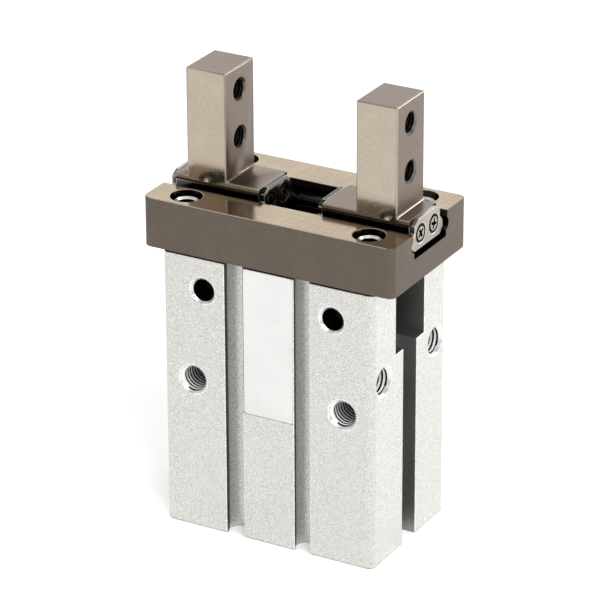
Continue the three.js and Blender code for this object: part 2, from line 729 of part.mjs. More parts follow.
place("cylinder_body", cylinderBody(), "bodyAluminium");
place("guide_rail", guideRail(), "guideSteel");
place("label_plate", labelPlate(), "labelFilm");
place("end_cap", endCap(), "bodyAluminium");
place("end_cap_seal", endCapSeal(), "rubber");
place("retaining_ring", retainingRing(), "darkSteel");
place("passage_plug", passagePlug(), "darkSteel");
place("rod_seal", rodSeal(), "rubber");
place("rod_seal_washer", rodSealWasher(), "darkSteel");
place("bumper_upper", bumper(BUMPER.upper, BORE.top), "rubber");
place("bumper_lower", bumper(BUMPER.lower, CAP.top), "rubber");

place("piston_lower", pistonLower(), "bodyAluminium");
place("piston_upper", pistonUpper(), "bodyAluminium");
place("piston_wear_ring", wearRing(), "bronze");
place("piston_seal", pistonSeal(), "rubber");
place("magnet_ring", magnetRing(), "magnet");
place("piston_rod", pistonRod(), "polishedSteel");
place("piston_bolt", pistonBolt(), "darkSteel");
place("joint_block", jointBlock(), "darkSteel");

for (const [sideName, side] of Object.entries(SIDES)) {
  place(`joint_pin_${sideName}`, jointPin(side), "polishedSteel");
  place(`joint_roller_${sideName}`, jointRoller(side), "polishedSteel");
  place(`lever_${sideName}`, lever(side), "darkSteel");
  place(`lever_bush_${sideName}`, leverBush(side), "bronze");
  place(`lever_shaft_${sideName}`, leverShaft(side), "polishedSteel");
  place(`finger_${sideName}`, finger(side), "fingerSteel");
  for (const [placeName, end] of Object.entries(PLATE_PLACES)) {
    place(`end_plate_${sideName}_${placeName}`, endPlate(side, end), "plateSteel");
    for (const [faceName, face] of Object.entries(FACES)) {
      const name = `plate_screw_${sideName}_${placeName}_${faceName}`;
      place(name, plateScrew(side, end, face), "screwSteel");
    }
  }
  for (const [faceName, face] of Object.entries(FACES)) {
    place(`ball_row_${sideName}_${faceName}`, ballRow(side, face), "polishedSteel");
    place(`guide_screw_${sideName}_${faceName}`, guideScrew(side, face), "screwSteel");
  }
}

export default gripper;
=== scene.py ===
"""Looks for a pneumatic gripper with two parallel fingers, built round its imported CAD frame."""
import json
from math import acos, asin, cos, degrees, hypot, pi, radians, sin
from types import SimpleNamespace as Sizes

import bmesh
import bpy
from mathutils import Matrix, Vector


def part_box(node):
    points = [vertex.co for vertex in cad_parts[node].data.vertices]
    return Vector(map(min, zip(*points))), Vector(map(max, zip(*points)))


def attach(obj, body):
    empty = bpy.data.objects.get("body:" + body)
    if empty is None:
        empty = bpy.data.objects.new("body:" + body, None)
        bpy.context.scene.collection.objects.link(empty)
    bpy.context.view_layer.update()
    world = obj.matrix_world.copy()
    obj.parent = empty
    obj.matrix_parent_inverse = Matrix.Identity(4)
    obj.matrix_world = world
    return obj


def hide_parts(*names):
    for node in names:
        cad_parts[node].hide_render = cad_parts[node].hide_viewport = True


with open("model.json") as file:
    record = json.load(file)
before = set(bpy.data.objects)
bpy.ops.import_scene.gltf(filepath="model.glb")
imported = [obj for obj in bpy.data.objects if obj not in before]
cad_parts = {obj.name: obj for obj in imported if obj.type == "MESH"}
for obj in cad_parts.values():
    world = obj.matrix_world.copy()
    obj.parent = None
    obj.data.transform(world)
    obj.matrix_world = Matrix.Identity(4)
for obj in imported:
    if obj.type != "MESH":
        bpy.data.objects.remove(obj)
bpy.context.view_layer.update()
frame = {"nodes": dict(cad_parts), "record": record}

# ---- Sizes ----
# Meshes are drawn in millimetres in the row frame and scaled to metres when they become objects.
# Where a size belongs to one side, it is that of the right side, and the left side mirrors it.

MM = 0.001
SIDES = {"left": -1, "right": 1}
FACES = {"front": -1, "rear": 1}
ENDS = {"inner": -1, "outer": 1}


def box_mm(node):
    """Lowest and highest corner of a CAD node, in millimetres."""
    low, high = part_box(node)
    return low / MM, high / MM


BODY_LOW, BODY_HIGH = box_mm("cylinder_body")
GUIDE_LOW, GUIDE_HIGH = box_mm("guide_rail")
LABEL_LOW, LABEL_HIGH = box_mm("label_plate")
FINGER_LOW, FINGER_HIGH = box_mm("finger_right")
SHAFT_LOW, SHAFT_HIGH = box_mm("lever_shaft_right")
SCREW_LOW, SCREW_HIGH = box_mm("guide_screw_right_rear")
PLATE_SCREW_LOW, PLATE_SCREW_HIGH = box_mm("plate_screw_right_outer_rear")
BALLS_LOW, BALLS_HIGH = box_mm("ball_row_right_rear")
CAP_LOW, CAP_HIGH = box_mm("end_cap")
CLIP_LOW, CLIP_HIGH = box_mm("retaining_ring")
ROD_LOW, ROD_HIGH = box_mm("piston_rod")
PLUG_LOW, PLUG_HIGH = box_mm("passage_plug")

HALF_DEPTH = BODY_HIGH.y
CORNER = 1.3
CAVITY = Sizes(half=5.4, floor=38.8)
BORE = Sizes(radius=10.0, top=34.0)
CLIP_GROOVE = Sizes(radius=10.8, span=(1.2, 2.3))
ROD_PASSAGE = 3.1
SEAL_RECESS = Sizes(radius=5.3, floor=35.4)
PLUG_WELL = Sizes(radius=1.0, top=2.3)
SWITCH_GROOVE = Sizes(radius=2.1, depth=1.8)
GROOVE_MOUTH = {"left": (-8.55, -5.0), "right": (5.45, 8.55)}
SWITCH_SLOT = Sizes(half=2.5, depth=4.5)
SEAM = Sizes(height=0.3, depth=0.35)
LABEL_GAP = 0.05

M5 = Sizes(major=2.6, minor=2.25, pitch=0.8)
M4 = Sizes(major=2.08, minor=1.8, pitch=0.7)
FACE_HOLE = Sizes(x=15.2, z=29.2, depth=8.0)
BASE_HOLE = Sizes(x=13.8, y=9.4, depth=7.5)
PORT = Sizes(y=9.7, z=35.4, depth=5.2)

CHANNEL = Sizes(half=6.4, lower=6.0, floor=57.9)
LEVER_WINDOW = Sizes(half_length=4.1, half_width=2.9)
COUNTERBORE = Sizes(radius=2.9, floor=59.1, shank_hole=1.7)
HEXAGON = Sizes(radius=1.72, depth=1.8, lead=0.36)

BALL_CENTRE = (BALLS_LOW + BALLS_HIGH) / 2
BALL_RADIUS = 1.15
BALL_GROOVE = BALL_RADIUS + 0.05
BALL_COUNT = 8
CARRIAGE = Sizes(inner=6.2, outer=23.6, half=5.0)
CARRIAGE_TOP = box_mm("end_plate_right_outer")[1].z
# Below its top the carriage's sides are relieved by a hair and take painted shade.
RACEWAY = Sizes(top=63.4, depth=0.06)
POST = Sizes(inner=13.0, outer=21.0)
FINGER_HOLES = (71.4, 80.4)
NOTCH = Sizes(half_length=1.75, half_width=2.6, top=61.6)
PLATE_SCREW = (PLATE_SCREW_LOW + PLATE_SCREW_HIGH) / 2
PLATE_SINK = Sizes(mouth=1.85, floor=0.95, taper=0.8, depth=1.2)
CROSS_SCREW = Sizes(point=0.6, shank=0.85, head=1.32, rim=1.25)
CROSS_RECESS = Sizes(reach=1.0, half_width=0.25, depth=0.55, middle=0.5, middle_depth=0.75)

PIVOT = Vector(((SHAFT_LOW.x + SHAFT_HIGH.x) / 2, 0, (SHAFT_LOW.z + SHAFT_HIGH.z) / 2))
SHAFT_RADIUS = (SHAFT_HIGH.x - SHAFT_LOW.x) / 2
SHAFT_BORE = SHAFT_RADIUS + 0.1
FINGER_OFFSET = 2.5  # from the pivot to the finger's notch, when open
ARM_UP = 12.6
LEAN = asin(FINGER_OFFSET / ARM_UP)
LEVER = Sizes(hub=4.0, bore=2.55, neck_half=2.4, head=1.7)
FORK = Sizes(reach=9.8, half_width=1.9, half_height=3.1, slot_half=1.95, slot_end=6.35)
CLIP = Sizes(inner=9.1, half_gap=1.4, eye=1.45, eye_hole=0.6, eye_x=2.9, eye_y=-8.3)

ROUND = 48  # segments round a visible hole or head
FINE = 96  # segments round the bore and what lies in it
BEYOND = 20  # farther from the middle than the front and rear faces


# ---- Mesh helpers ----

def place(axis, u, v, w):
    """A point across (u, v) and along (w) an axis."""
    return {"X": (w, u, v), "Y": (u, w, v), "Z": (u, v, w)}[axis]


def object_from(name, mesh):
    made = bpy.data.objects.new(name, mesh)
    bpy.context.scene.collection.objects.link(made)
    return made


def mesh_from(vertices, faces):
    """A closed mesh with its normals turned outwards, in millimetres."""
    mesh = bpy.data.meshes.new("drawn")
    mesh.from_pydata(vertices, [], faces)
    work = bmesh.new()
    work.from_mesh(mesh)
    bmesh.ops.remove_doubles(work, verts=work.verts, dist=1e-5)
    bmesh.ops.recalc_face_normals(work, faces=work.faces)
    if work.calc_volume(signed=True) < 0:
        bmesh.ops.reverse_faces(work, faces=work.faces)
    work.to_mesh(mesh)
    work.free()
    return mesh


def moved(mesh, *steps):
    """The mesh itself, taken through one transform after another."""
    for step in steps:
        mesh.transform(step)
    return mesh


def prism(axis, outline, low, high):
    """A closed outline in the plane across an axis, given length along that axis."""
    count = len(outline)
    vertices = [place(axis, u, v, along) for along in (low, high) for u, v in outline]
    faces = [tuple(reversed(range(count))), tuple(range(count, 2 * count))]
    for i in range(count):
        j = (i + 1) % count
        faces.append((i, j, count + j, count + i))
    return mesh_from(vertices, faces)


def block(x, y, z):
    (x0, x1), (y0, y1), (z0, z1) = sorted(x), sorted(y), sorted(z)
    return prism("Z", [(x0, y0), (x1, y0), (x1, y1), (x0, y1)], z0, z1)


def turned(axis, profile, centre=(0, 0, 0), segments=ROUND):
    """(radius, place along the axis) pairs revolved. The profile closes on itself or on the axis."""
    vertices, rings = [], []
    for radius, along in profile:
        if radius < 1e-6:
            rings.append([len(vertices)] * segments)
            vertices.append(place(axis, 0, 0, along))
            continue
        rings.append(list(range(len(vertices), len(vertices) + segments)))
        for i in range(segments):
            angle = 2 * pi * i / segments
            vertices.append(place(axis, radius * cos(angle), radius * sin(angle), along))
    faces = []
    on_axis = profile[0][0] < 1e-6 and profile[-1][0] < 1e-6
    pairs = list(zip(rings, rings[1:])) + ([] if on_axis else [(rings[-1], rings[0])])
    for lower, upper in pairs:
        for i in range(segments):
            j = (i + 1) % segments
            corners = list(dict.fromkeys([lower[i], lower[j], upper[j], upper[i]]))
            if len(corners) > 2:
                faces.append(corners)
    return moved(mesh_from(vertices, faces), Matrix.Translation(centre))


def rod(axis, radius, span, centre=(0, 0, 0), segments=ROUND):
    low, high = sorted(span)
    return turned(axis, [(0, low), (radius, low), (radius, high), (0, high)], centre, segments)


def chamfered(radius, low, high, chamfer):
    """The outside of a round piece's profile, from low to high."""
    inner = radius - chamfer
    return [(inner, low), (radius, low + chamfer), (radius, high - chamfer), (inner, high)]


def arc(centre, radius, start, end, steps):
    """Points along an arc, in degrees."""
    points = []
    for i in range(steps + 1):
        angle = radians(start + (end - start) * i / steps)
        points.append((centre[0] + radius * cos(angle), centre[1] + radius * sin(angle)))
    return points


def rounded_rectangle(half_width, half_depth, radius, steps=8):
    x, y = half_width - radius, half_depth - radius
    corners = [((x, y), 0), ((-x, y), 90), ((-x, -y), 180), ((x, -y), 270)]
    return [point for centre, start in corners for point in arc(centre, radius, start, start + 90, steps)]


def symmetric(half):
    """One half of an outline and its mirror image."""
    return half + [(-u, v) for u, v in reversed(half)]


def tap(axis, thread, start, end, centre, steps_a_turn=32):
    """The helical groove of a thread, as a solid to cut away: a ridge wound from start to end.

    The ridge's section is given as radii and as places along the axis in pitches.
    """
    pitch, root, crest = thread.pitch, thread.minor - 0.05, thread.major
    section = ((root, -0.27), (crest, -0.14), (crest, 0.14), (root, 0.27))
    direction = 1 if end > start else -1
    steps = round(abs(end - start) / pitch * steps_a_turn)
    vertices, faces = [], []
    for step in range(steps + 1):
        angle = 2 * pi * step / steps_a_turn
        for radius, offset in section:
            along = start + direction * pitch * (step / steps_a_turn + offset)
            vertices.append(place(axis, radius * cos(angle), radius * sin(angle), along))
    size = len(section)
    for step in range(steps):
        for corner in range(size):
            following = (corner + 1) % size
            low, high = step * size, (step + 1) * size
            faces.append((low + corner, low + following, high + following, high + corner))
    faces.append(tuple(range(size)))
    faces.append(tuple(range(steps * size, (steps + 1) * size)))
    return moved(mesh_from(vertices, faces), Matrix.Translation(centre))


def carved(blank, cutters, operation="DIFFERENCE"):
    """The blank with every cutter taken away, or with another operation, one after another."""
    base = object_from("blank", blank)
    tools = [object_from("cutter", cutter) for cutter in cutters]
    for tool in tools:
        step = base.modifiers.new("cut", "BOOLEAN")
        step.operation = operation
        step.solver = "MANIFOLD"
        step.object = tool
    mesh = evaluated_mesh(base)
    for used in [base, *tools]:
        bpy.data.objects.remove(used)
    return mesh


def evaluated_mesh(source):
    bpy.context.view_layer.update()
    graph = bpy.context.evaluated_depsgraph_get()
    return bpy.data.meshes.new_from_object(source.evaluated_get(graph), depsgraph=graph)


def modified(mesh, kind, **settings):
    """The mesh with one modifier applied."""
    base = object_from("blank", mesh)
    step = base.modifiers.new("step", kind)
    for setting, value in settings.items():
        setattr(step, setting, value)
    made = evaluated_mesh(base)
    bpy.data.objects.remove(base)
    return made


def slotted(mesh, count):
    """The mesh itself, with at least that many material slots."""
    while len(mesh.materials) < count:
        mesh.materials.append(None)
    return mesh


def softened(mesh, width, least_area, segments=3, sharpest=25, where=None):
    """Real rounded edges: each sharp edge of a broad face is bevelled. Bevel faces take material 1."""
    work = bmesh.new()
    work.from_mesh(mesh)
    bmesh.ops.dissolve_degenerate(work, dist=1e-4, edges=work.edges)
    layer = work.edges.layers.float.new("bevel_weight_edge")
    for edge in work.edges:
        if len(edge.link_faces) != 2:
            continue
        broad = max(face.calc_area() for face in edge.link_faces) >= least_area
        turn = degrees(edge.calc_face_angle(0))
        middle = (edge.verts[0].co + edge.verts[1].co) / 2
        if broad and turn > sharpest and (where is None or where(middle)):
            edge[layer] = 1.0
    work.to_mesh(mesh)
    work.free()
    mesh.materials.clear()
    settings = {"limit_method": "WEIGHT", "use_clamp_overlap": False, "miter_outer": "MITER_SHARP"}
    return modified(slotted(mesh, 2), "BEVEL", width=width, segments=segments, material=1, **settings)


def shaded(mesh, angle=35):
    """Smooth shading that keeps broad faces flat."""
    for face in mesh.polygons:
        face.use_smooth = True
    mesh.set_sharp_from_angle(angle=radians(angle))
    return modified(mesh, "WEIGHTED_NORMAL", keep_sharp=True, weight=100)


def mirrored(mesh):
    """The same shape on the other side of the middle plane across X."""
    copy = moved(mesh.copy(), Matrix.Diagonal((-1, 1, 1, 1)))
    copy.flip_normals()
    return copy


def zoned(mesh, rules, bright=None):
    """Faces that fit a rule on their centre and normal take its material: 2 for the first rule, and so on.

    A bevelled edge keeps material 1, a painted highlight, where `bright` holds; elsewhere it is treated as
    any other face.
    """
    for face in mesh.polygons:
        if face.material_index == 1:
            if bright is None or bright(face.center, face.normal):
                continue
            face.material_index = 0
        for index, rule in enumerate(rules, 2):
            if rule(face.center, face.normal):
                face.material_index = index
                break
    return slotted(mesh, 2 + len(rules))


def piece(name, mesh, body, materials, replaced):
    """A finished mesh becomes a named object in metres that rides on a body and stands for CAD nodes."""
    mesh = slotted(moved(mesh.copy(), Matrix.Scale(MM, 4)), len(materials))
    mesh.name = name
    for index, material in enumerate(materials):
        mesh.materials[index] = material
    made = object_from(name, mesh)
    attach(made, body)
    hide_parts(*replaced)
    return made


# ---- Material helpers ----

def new_material(name, **sockets):
    """A Principled material with its constant sockets set on the shader itself."""
    material = bpy.data.materials.new(name)
    material.use_nodes = True
    shader = material.node_tree.nodes["Principled BSDF"]
    for socket, value in sockets.items():
        shader.inputs[socket.replace("_", " ")].default_value = value
    return material, material.node_tree, shader


def feed(tree, socket, value):
    """Link a source to a socket, or set its constant. A colour has three values and is opaque."""
    if isinstance(value, bpy.types.NodeSocket):
        tree.links.new(value, socket)
    elif socket.type == "RGBA":
        socket.default_value = (*value, 1)
    else:
        socket.default_value = value


def add(tree, kind, **inputs):
    node = tree.nodes.new(kind)
    for socket, value in inputs.items():
        feed(tree, node.inputs[socket.replace("_", " ")], value)
    return node


def grain_scale(size_mm):
    """Texture scale, in coordinates of metres, for a grain of about size_mm."""
    return 1 / (size_mm * MM)


def noise(tree, size_mm, stretch=(1, 1, 1), detail=2.0, roughness=0.5):
    """Noise whose grain is about size_mm across, drawn out along an axis where stretch is below 1."""
    coordinates = add(tree, "ShaderNodeTexCoord").outputs["Object"]
    mapping = add(tree, "ShaderNodeMapping", Vector=coordinates, Scale=stretch)
    settings = {"Scale": grain_scale(size_mm), "Detail": detail, "Roughness": roughness}
    return add(tree, "ShaderNodeTexNoise", Vector=mapping.outputs["Vector"], **settings).outputs["Fac"]


def speckle(tree, size_mm):
    """An even random value for each grain of about size_mm."""
    coordinates = add(tree, "ShaderNodeTexCoord").outputs["Object"]
    cells = add(tree, "ShaderNodeTexVoronoi", Vector=coordinates, Scale=grain_scale(size_mm))
    return add(tree, "ShaderNodeSeparateColor", Color=cells.outputs["Color"]).outputs[0]


def ranged(tree, value, low, high, new_low, new_high):
    node = add(tree, "ShaderNodeMapRange", Value=value, From_Min=low, From_Max=high)
    feed(tree, node.inputs["To Min"], new_low)
    feed(tree, node.inputs["To Max"], new_high)
    return node.outputs["Result"]


def blended(tree, factor, first, second):
    """A mix of two colours, whose sockets the node knows by their place only."""
    node = tree.nodes.new("ShaderNodeMix")
    node.data_type = "RGBA"
    for index, value in ((0, factor), (6, first), (7, second)):
        feed(tree, node.inputs[index], value)
    return node.outputs[2]


def sums(tree, operation, first, second):
    node = tree.nodes.new("ShaderNodeMath")
    node.operation = operation
    for socket, value in zip(node.inputs, (first, second)):
        feed(tree, socket, value)
    return node.outputs[0]


def finished(tree, shader, colour, roughness, height, distance_mm, strength=0.4):
    """Colour, roughness and bump go into the shader."""
    bump = add(tree, "ShaderNodeBump", Height=height, Strength=strength, Distance=distance_mm * MM)
    tree.links.new(colour, shader.inputs["Base Color"])
    tree.links.new(roughness, shader.inputs["Roughness"])
    tree.links.new(bump.outputs["Normal"], shader.inputs["Normal"])


def scaled(colour, factor):
    return tuple(part * factor for part in colour)


def grey(level, warmth=0.0):
    return (level * (1 + warmth), level, level * (1 - warmth))


def anodised(level):
    """The faintly warm white of clear anodising."""
    return (level, level * 0.99, level * 0.945)


def clouded(tree, size_mm, colour, factor, base=None, most=1.0, detail=2.0, low=0.3):
    """The base, or else the colour, drifts in soft clouds towards the colour times a factor."""
    cloud = ranged(tree, noise(tree, size_mm, detail=detail), low, 0.7, 0, most)
    return blended(tree, cloud, colour if base is None else base, scaled(colour, factor))


# ---- Materials ----

def blasted_aluminium(name, level, roughness, grain_mm=0.15):
    """Bead-blasted and clear anodised: a fine even speckle, no direction."""
    material, tree, shader = new_material(name, Metallic=1.0)
    grain = speckle(tree, grain_mm)
    base = blended(tree, grain, anodised(level * 0.48), anodised(level * 1.42))
    shade = clouded(tree, 9, anodised(level), 0.96, base, most=0.35)
    rough = ranged(tree, grain, 0, 1, roughness - 0.06, roughness + 0.08)
    finished(tree, shader, shade, rough, noise(tree, 2 * grain_mm), 0.006)
    return material


def ground_steel(name, dark, light, roughness, along, crossed=0.25):
    """Ground steel: fine lines along one axis, fainter ones across, and a tint that drifts."""
    material, tree, shader = new_material(name, Metallic=1.0)
    lines = noise(tree, 0.12, place(along, 1, 1, 0.02), detail=4, roughness=0.6)
    cross_lines = noise(tree, 0.2, place(along, 0.04, 0.04, 1))
    weave = sums(tree, "ADD", lines, sums(tree, "MULTIPLY", cross_lines, crossed))
    middle = 0.5 * (1 + crossed)
    fine = ranged(tree, weave, middle - 0.2, middle + 0.2, 0, 1)
    shade = clouded(tree, 11, dark, 0.86, blended(tree, fine, dark, light), 0.5, detail=3, low=0.35)
    rough = ranged(tree, fine, 0, 1, roughness + 0.05, roughness - 0.05)
    finished(tree, shader, shade, rough, weave, 0.006)
    return material


def plain_metal(name, colour, roughness):
    """Turned, plated or heat-treated metal with slight handling marks."""
    material, tree, shader = new_material(name, Metallic=1.0)
    marks = noise(tree, 0.4, detail=3)
    rough = ranged(tree, marks, 0.3, 0.7, roughness - 0.04, roughness + 0.07)
    finished(tree, shader, clouded(tree, 4, colour, 0.88), rough, marks, 0.004)
    return material


def blasted_steel(name, colour, roughness, contrast, grain_mm=0.15, depth_mm=0.008):
    """Blasted, then heat treated: one warm colour with a fine even speckle."""
    material, tree, shader = new_material(name, Metallic=1.0)
    grain = speckle(tree, grain_mm)
    base = blended(tree, grain, scaled(colour, 1 - contrast), scaled(colour, 1 + contrast))
    rough = ranged(tree, grain, 0, 1, roughness - 0.04, roughness + 0.07)
    shade = clouded(tree, 4, colour, 0.88, base, most=0.6)
    finished(tree, shader, shade, rough, noise(tree, 2 * grain_mm), depth_mm)
    return material


def matte(name, colour, roughness, grain_mm=0.25, depth_mm=0.01):
    """Rubber, moulded plastic or film with a faint texture."""
    material, tree, shader = new_material(name, Metallic=0.0)
    grain = noise(tree, grain_mm, detail=3)
    rough = ranged(tree, grain, 0.3, 0.7, roughness - 0.04, roughness + 0.06)
    finished(tree, shader, clouded(tree, 6, colour, 0.93), rough, grain, depth_mm, strength=0.35)
    return material


ALUMINIUM = blasted_aluminium("blasted_face", 0.655, 0.5, grain_mm=0.08)
# Lighter than the face: a painted highlight on the body's bevelled edges.
ALUMINIUM_EDGE_HIGHLIGHT = blasted_aluminium("blasted_edge_painted_highlight", 0.86, 0.36)
GROOVE_ALUMINIUM = blasted_aluminium("extruded_groove", 0.71, 0.5, grain_mm=0.1)
# Darker than the body: the streaks are the extrusion's own, the darkness is painted shade inside slots,
# cavity and bore.
SHADED_SLOT_ALUMINIUM = ground_steel("extruded_slot_painted_shade", grey(0.28, 0.01), grey(0.36, 0.01), 0.45, "Z", 0.1)
# Near white and not metal: bare cut aluminium with a painted highlight that keeps the thread crests bright
# deep in the holes.
THREAD_PAINTED_HIGHLIGHT = matte("cut_thread_painted_highlight", grey(0.95), 0.4)
TURNED_ALUMINIUM = plain_metal("turned_aluminium", grey(0.55), 0.35)
COUNTERSINK = plain_metal("turned_countersink", (0.76, 0.755, 0.735), 0.36)
# Near black: painted shade in the pin bores, thread roots and hole bottoms, the seam under the guide, the
# grooves' undercut lips and the foot.
DARK_BORE = plain_metal("shadowed_bore", grey(0.05), 0.3)

HEAT_TREATED = blasted_steel("heat_treated_steel", (0.139, 0.115, 0.094), 0.5, 0.2)
GUIDE_TOP = ground_steel("ground_guide_top", (0.27, 0.207, 0.134), (0.39, 0.312, 0.217), 0.15, "Y", 0.6)
# Lighter than the guide: a painted highlight on its upper edges.
GUIDE_EDGE_HIGHLIGHT = plain_metal("guide_edge_painted_highlight", (0.50, 0.45, 0.38), 0.3)
# Near black: painted shade on the channel's lip walls.
SHADED_CHANNEL_LIP = plain_metal("channel_lip_painted_shade", (0.05, 0.047, 0.043), 0.4)
# Near black: painted shade in the guide's channel, windows and counterbores and on the carriages' raceways.
PAINTED_SHADE_STEEL = plain_metal("painted_shade_steel", (0.05, 0.045, 0.04), 0.18)
COUNTERBORE_RIM = plain_metal("counterbore_rim", (0.13, 0.11, 0.09), 0.4)

FINGER_DARK = blasted_steel("heat_treated_finger", (0.19, 0.148, 0.12), 0.34, 0.15)
FINGER_GROUND = blasted_steel(
    "ground_finger", (0.435, 0.37, 0.295), 0.15, 0.16, grain_mm=0.12, depth_mm=0.0006
)
# Lighter than the finger: a painted highlight on its bevelled edges.
FINGER_EDGE_HIGHLIGHT = plain_metal("finger_edge_painted_highlight", (0.38, 0.335, 0.285), 0.3)
THREADED_STEEL = plain_metal("steel_thread", (0.30, 0.27, 0.23), 0.3)
PLATE = ground_steel("ground_plate", (0.32, 0.29, 0.255), (0.45, 0.41, 0.365), 0.35, "Y")
# Lighter than the plate: a painted highlight on its bevelled edges.
PLATE_EDGE_HIGHLIGHT = plain_metal("plate_edge_painted_highlight", (0.60, 0.57, 0.53), 0.3)
# Near black: painted shade and dark reflection on the inner plates, a shaded copy of the plate's steel.
SHADED_PLATE = plain_metal("inner_plate_in_painted_shade", (0.05, 0.046, 0.042), 0.3)

SCREW = plain_metal("plated_screw", (0.62, 0.59, 0.54), 0.22)
# Near white: a painted highlight on the rear part of each cap screw's socket lead-in.
SCREW_CROWN_HIGHLIGHT = plain_metal("screw_crown_painted_highlight", (0.97, 0.95, 0.90), 0.3)
# Near black: painted shade in sockets, cross recesses, the plates' countersinks and the posts' thread roots,
# and the dark joint line at the carriages' ends.
RECESS_SHADE_AND_JOINT = plain_metal("painted_recess_shade_and_joint_line", (0.02, 0.018, 0.017), 0.4)
# Darker copy of the plate's steel: painted shade on the inner plates' screws.
SHADED_SCREW = plain_metal("inner_screw_in_painted_shade", (0.16, 0.15, 0.14), 0.25)
DARK_STEEL = plain_metal("blackened_steel", (0.06, 0.057, 0.054), 0.42)
DARK_STEEL_EDGE = plain_metal("blackened_steel_edge", (0.18, 0.17, 0.16), 0.35)
POLISHED = plain_metal("polished_shaft", (0.66, 0.66, 0.67), 0.13)
BRONZE = plain_metal("bearing_bronze", (0.45, 0.28, 0.12), 0.45)
RUBBER = matte("nitrile_rubber", (0.012, 0.012, 0.013), 0.6)
MAGNET = matte("bonded_magnet", (0.03, 0.028, 0.026), 0.5)
LABEL_FILM = matte("white_film", (0.735, 0.722, 0.708), 0.45, grain_mm=0.5, depth_mm=0.02)

SKIN = 0.01  # a face this near to a surface lies on it
SQUARE = 0.9  # least share of a normal along an axis, for a face square to that axis
MOUTH = 0.6  # how deep a countersink may reach
DEEPEST = FACE_HOLE.depth + 2  # beyond the bottom of every threaded hole


def slanted(share):
    """Whether a face leans, from the share of its normal that lies along an axis."""
    return 0.3 < abs(share) < 0.95


# ---- Body ----

def switch_groove(side_name, face):
    """Round-bottomed groove for a position switch, the full height of a face."""
    edge = face * HALF_DEPTH
    low, high = GROOVE_MOUTH[side_name]
    half, x = (high - low) / 2, (high + low) / 2
    radius, depth = SWITCH_GROOVE.radius, SWITCH_GROOVE.depth
    centre = edge - face * depth
    meet = degrees(asin(half / radius))
    outward = 90 * face
    round_part = arc((x, centre), radius, outward + meet, outward + 360 - meet, 28)
    outer = [(x + half * face, edge + face), (x - half * face, edge + face)]
    return prism("Z", [*round_part, *outer], BODY_LOW.z - 1, BODY_HIGH.z + 1)


def drilled(axis, thread, face, direction, depth, centre, sink=0.28):
    """Countersunk drill with a pointed end. It goes in against the direction in which the face looks."""
    radius = thread.minor
    rim, clear = thread.major + sink, 0.5
    bottom = face - direction * depth
    profile = [
        (0, bottom - direction * radius * 0.6), (radius, bottom),
        (radius, face - direction * (rim - radius)), (rim + clear, face + direction * clear),
        (0, face + direction * clear),
    ]
    return turned(axis, profile, centre)


def threaded_hole(axis, thread, face, direction, depth, centre):
    start = face + direction * thread.pitch
    end = face - direction * (depth - 1.5)
    return [drilled(axis, thread, face, direction, depth, centre), tap(axis, thread, start, end, centre)]


def central_cuts(below, above):
    """Lever cavity, cylinder bore, the clip's groove in it, and the rod's passage and seal recess."""
    through = [-BODY_HIGH.x - 1, BODY_HIGH.x + 1]
    upward = CAVITY.floor + 1
    return [
        block(through, [-CAVITY.half, CAVITY.half], [CAVITY.floor, above]),
        rod("Z", BORE.radius, [below, BORE.top], segments=FINE),
        rod("Z", CLIP_GROOVE.radius, CLIP_GROOVE.span, segments=FINE),
        rod("Z", ROD_PASSAGE, [BORE.top - 1, upward]),
        rod("Z", SEAL_RECESS.radius, [SEAL_RECESS.floor, upward]),
    ]


def side_cuts(side_name, side, below):
    """Switch slot and lever pin bore, and on the front and rear a switch groove and the side's holes."""
    deep = [side * (BODY_HIGH.x + 1), side * (BODY_HIGH.x - SWITCH_SLOT.depth)]
    wide = [-SWITCH_SLOT.half, SWITCH_SLOT.half]
    pin_centre = (side * PIVOT.x, 0, PIVOT.z)
    pin_bore = Sizes(minor=SHAFT_BORE, major=SHAFT_BORE)
    tools = [
        block(deep, wide, [below, CAVITY.floor + 1]),
        rod("Y", SHAFT_BORE, [-BEYOND, BEYOND], pin_centre),
    ]
    for face in FACES.values():
        edge = face * HALF_DEPTH
        hole = (side * FACE_HOLE.x, 0, FACE_HOLE.z)
        base = (side * BASE_HOLE.x, face * BASE_HOLE.y, 0)
        tools.append(switch_groove(side_name, face))
        tools.append(drilled("Y", pin_bore, edge, face, 1.5, pin_centre, sink=0.45))
        tools += threaded_hole("Y", M5, edge, face, FACE_HOLE.depth, hole)
        tools += threaded_hole("Z", M5, BODY_LOW.z, -1, BASE_HOLE.depth, base)
    return tools


def label_pocket():
    wide = [LABEL_LOW.x - LABEL_GAP, LABEL_HIGH.x + LABEL_GAP]
    tall = [LABEL_LOW.z - LABEL_GAP, LABEL_HIGH.z + LABEL_GAP]
    return block(wide, [-HALF_DEPTH - 1, LABEL_HIGH.y], tall)


def seam_cut():
    """The shallow step round the body's top edge, under the guide."""
    outside = rounded_rectangle(BODY_HIGH.x + 1, HALF_DEPTH + 1, CORNER)
    kept = rounded_rectangle(BODY_HIGH.x - SEAM.depth, HALF_DEPTH - SEAM.depth, CORNER)
    low, high = BODY_HIGH.z - SEAM.height, BODY_HIGH.z + 1
    return carved(prism("Z", outside, low, high), [prism("Z", kept, low - 1, high + 1)])


